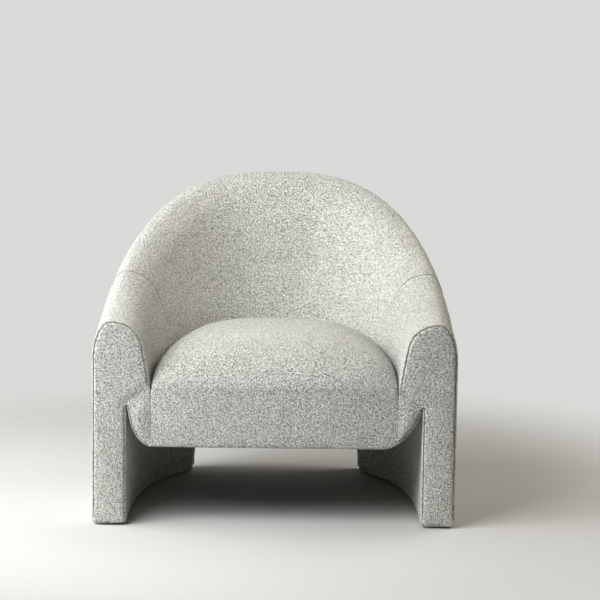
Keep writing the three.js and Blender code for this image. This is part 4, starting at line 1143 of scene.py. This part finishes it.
for side, end in bothSides:
    outline = panelLines[side]
    keep = ~besideSeat(outline) & (outline[:, 1] > seam["lowest"])
    for number, run in enumerate(cutRuns(outline, keep), 1):
        if len(run) > seam["fewest"]:
            place = [(side * x, cloth["frontPanel"] - seam["frontSunk"], z) for x, z in run]
            threadAlong(f"arm_front_seam_{end}_{number}", place, seam["frontRadius"])
    face, _ = padGrids([(side, seamRun, 1.0)])
    column = face[seam["joinStart"]:rowCounts["outside"] + rowCounts["inside"] + seam["joinFall"], 0]
    fade = np.clip(np.linspace(*seam["joinFade"], len(column)), 0, 1)
    threadAlong(f"arm_back_seam_{end}", column, seam["joinRadius"], fade)
print("seams sewn")


# nail-on glides, modelled once and copied to each foot
glide = {"radius": 0.0148, "height": 0.0056, "round": 0.0014}
glideNames = ["glide_front_left", "glide_rear_left", "glide_front_right", "glide_rear_right"]


def boxCentre(name):
    low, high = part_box(name)
    return (Vector(low) + Vector(high)) / 2


firstPlace = boxCentre(glideNames[0])
bpy.ops.object.select_all(action="DESELECT")
bpy.ops.mesh.primitive_cylinder_add(
    vertices=48, radius=glide["radius"], depth=glide["height"], location=firstPlace)
firstGlide = bpy.context.object
bpy.ops.object.mode_set(mode="EDIT")
bpy.ops.mesh.bevel(offset=glide["round"], segments=3, affect="EDGES")
bpy.ops.object.mode_set(mode="OBJECT")
bpy.ops.object.transform_apply(location=True, rotation=True, scale=True)
bpy.ops.object.shade_smooth_by_angle(angle=radians(40))
for name in glideNames:
    mesh = firstGlide.data.copy()
    mesh.transform(Matrix.Translation(boxCentre(name) - firstPlace))
    mesh.materials.clear()
    mesh.materials.append(blackPlastic)
    foot = newObject(f"{name}_dome", mesh)
    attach(foot, "root")
    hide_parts(name)
bpy.data.objects.remove(firstGlide)
print("glides made")


# stage, light and camera
studio = {
    "floor": (0.59, 0.59, 0.58), "fadeStart": 0.70, "fadeEnd": 1.55, "surroundings": (0.70, 0.70, 0.685),
    "skyLight": 0.09, "skyColour": (1.0, 0.96, 0.88),
}
lamps = {
    "window": {
        "place": (-2.00, -0.45, 1.25), "aim": (0.0, 0.0, 0.45), "power": 58.0, "size": 1.8,
        "colour": (1.0, 1.0, 1.0)},
    "upperWindow": {
        "place": (-1.30, -1.60, 2.00), "aim": (0.0, 0.0, 0.40), "power": 63.0, "size": 1.6,
        "colour": (1.0, 1.0, 1.0)},
    "room": {
        "place": (1.60, 0.60, 1.60), "aim": (0.0, 0.0, 0.50), "power": 22.0, "size": 1.4,
        "colour": (1.0, 0.93, 0.80)},
}


def blendSurfaces(tree, output, share, first, second):
    blend = addNode(tree, "ShaderNodeMixShader")
    for number, source in enumerate((share, first, second)):
        tree.links.new(source, blend.inputs[number])
    tree.links.new(blend.outputs[0], tree.nodes[output].inputs["Surface"])


# the floor fades into the pale surroundings, so no wall stands behind the chair
def floorMaterial(name):
    material, tree, shader, place = newMaterial(name, 0.75)
    shader.inputs["Base Color"].default_value = (*studio["floor"], 1)
    shader.inputs["Specular IOR Level"].default_value = 0.2
    away = addNode(tree, "ShaderNodeVectorMath", operation="LENGTH")
    tree.links.new(place, away.inputs[0])
    fade = addNode(tree, "ShaderNodeMapRange", interpolation_type="SMOOTHSTEP")
    fade.inputs["From Min"].default_value = studio["fadeStart"]
    fade.inputs["From Max"].default_value = studio["fadeEnd"]
    tree.links.new(away.outputs["Value"], fade.inputs["Value"])
    clear = addNode(tree, "ShaderNodeBsdfTransparent")
    blendSurfaces(tree, "Material Output", fade.outputs[0], shader.outputs[0], clear.outputs[0])
    return material


bpy.ops.object.select_all(action="DESELECT")
bpy.ops.mesh.primitive_circle_add(
    vertices=96, radius=studio["fadeEnd"] + 0.1, fill_type="NGON", location=(0, 0, 0))
floor = bpy.context.object
floor.name = "floor"
floor.data.materials.append(floorMaterial("floor_paint"))
floor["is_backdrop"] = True

world = bpy.data.worlds.new("studio")
bpy.context.scene.world = world
world.use_nodes = True
tree = world.node_tree
sky = tree.nodes["Background"]
sky.inputs["Color"].default_value = (*studio["skyColour"], 1)
sky.inputs["Strength"].default_value = studio["skyLight"]
seen = addNode(tree, "ShaderNodeBackground", Color=(*studio["surroundings"], 1), Strength=1.0)
path = addNode(tree, "ShaderNodeLightPath")
direct = addMath(tree, "MAXIMUM", path.outputs["Is Camera Ray"], path.outputs["Is Glossy Ray"])
direct = addMath(tree, "MAXIMUM", direct, path.outputs["Is Transmission Ray"])
blendSurfaces(tree, "World Output", direct, sky.outputs[0], seen.outputs[0])

for name, wanted in lamps.items():
    lamp = bpy.data.lights.new(f"{name}_light", "AREA")
    lamp.shape = "SQUARE"
    lamp.size = wanted["size"]
    lamp.energy = wanted["power"]
    lamp.color = wanted["colour"]
    placed = newObject(f"{name}_light", lamp)
    placed.location = Vector(wanted["place"])
    placed.rotation_euler = (Vector(wanted["aim"]) - placed.location).to_track_quat("-Z", "Y").to_euler()

view = {
    "place": (0.0378, -5.0077, 1.1506), "pitch": 7.768, "yaw": 0.203, "roll": 0.699,
    "lens": 126.0, "sensor": 36.0, "farthest": 60.0,
}
yaw, pitch, roll = (radians(view[key]) for key in ("yaw", "pitch", "roll"))
right = Vector((cos(yaw), -sin(yaw), 0))
forward = Vector((sin(yaw) * cos(pitch), cos(yaw) * cos(pitch), -sin(pitch)))
up = Vector((sin(yaw) * sin(pitch), cos(yaw) * sin(pitch), cos(pitch)))
cameraX = right * cos(roll) + up * sin(roll)
cameraY = up * cos(roll) - right * sin(roll)
turned = Matrix((cameraX, cameraY, -forward)).transposed()
cameraData = bpy.data.cameras.new("camera")
cameraData.lens = view["lens"]
cameraData.sensor_width = view["sensor"]
cameraData.clip_end = view["farthest"]
camera = newObject("camera", cameraData)
camera.matrix_world = Matrix.Translation(Vector(view["place"])) @ turned.to_4x4()
bpy.context.scene.camera = camera
bpy.context.scene.view_settings.view_transform = "Standard"
print("stage, light and camera set")

low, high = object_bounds()
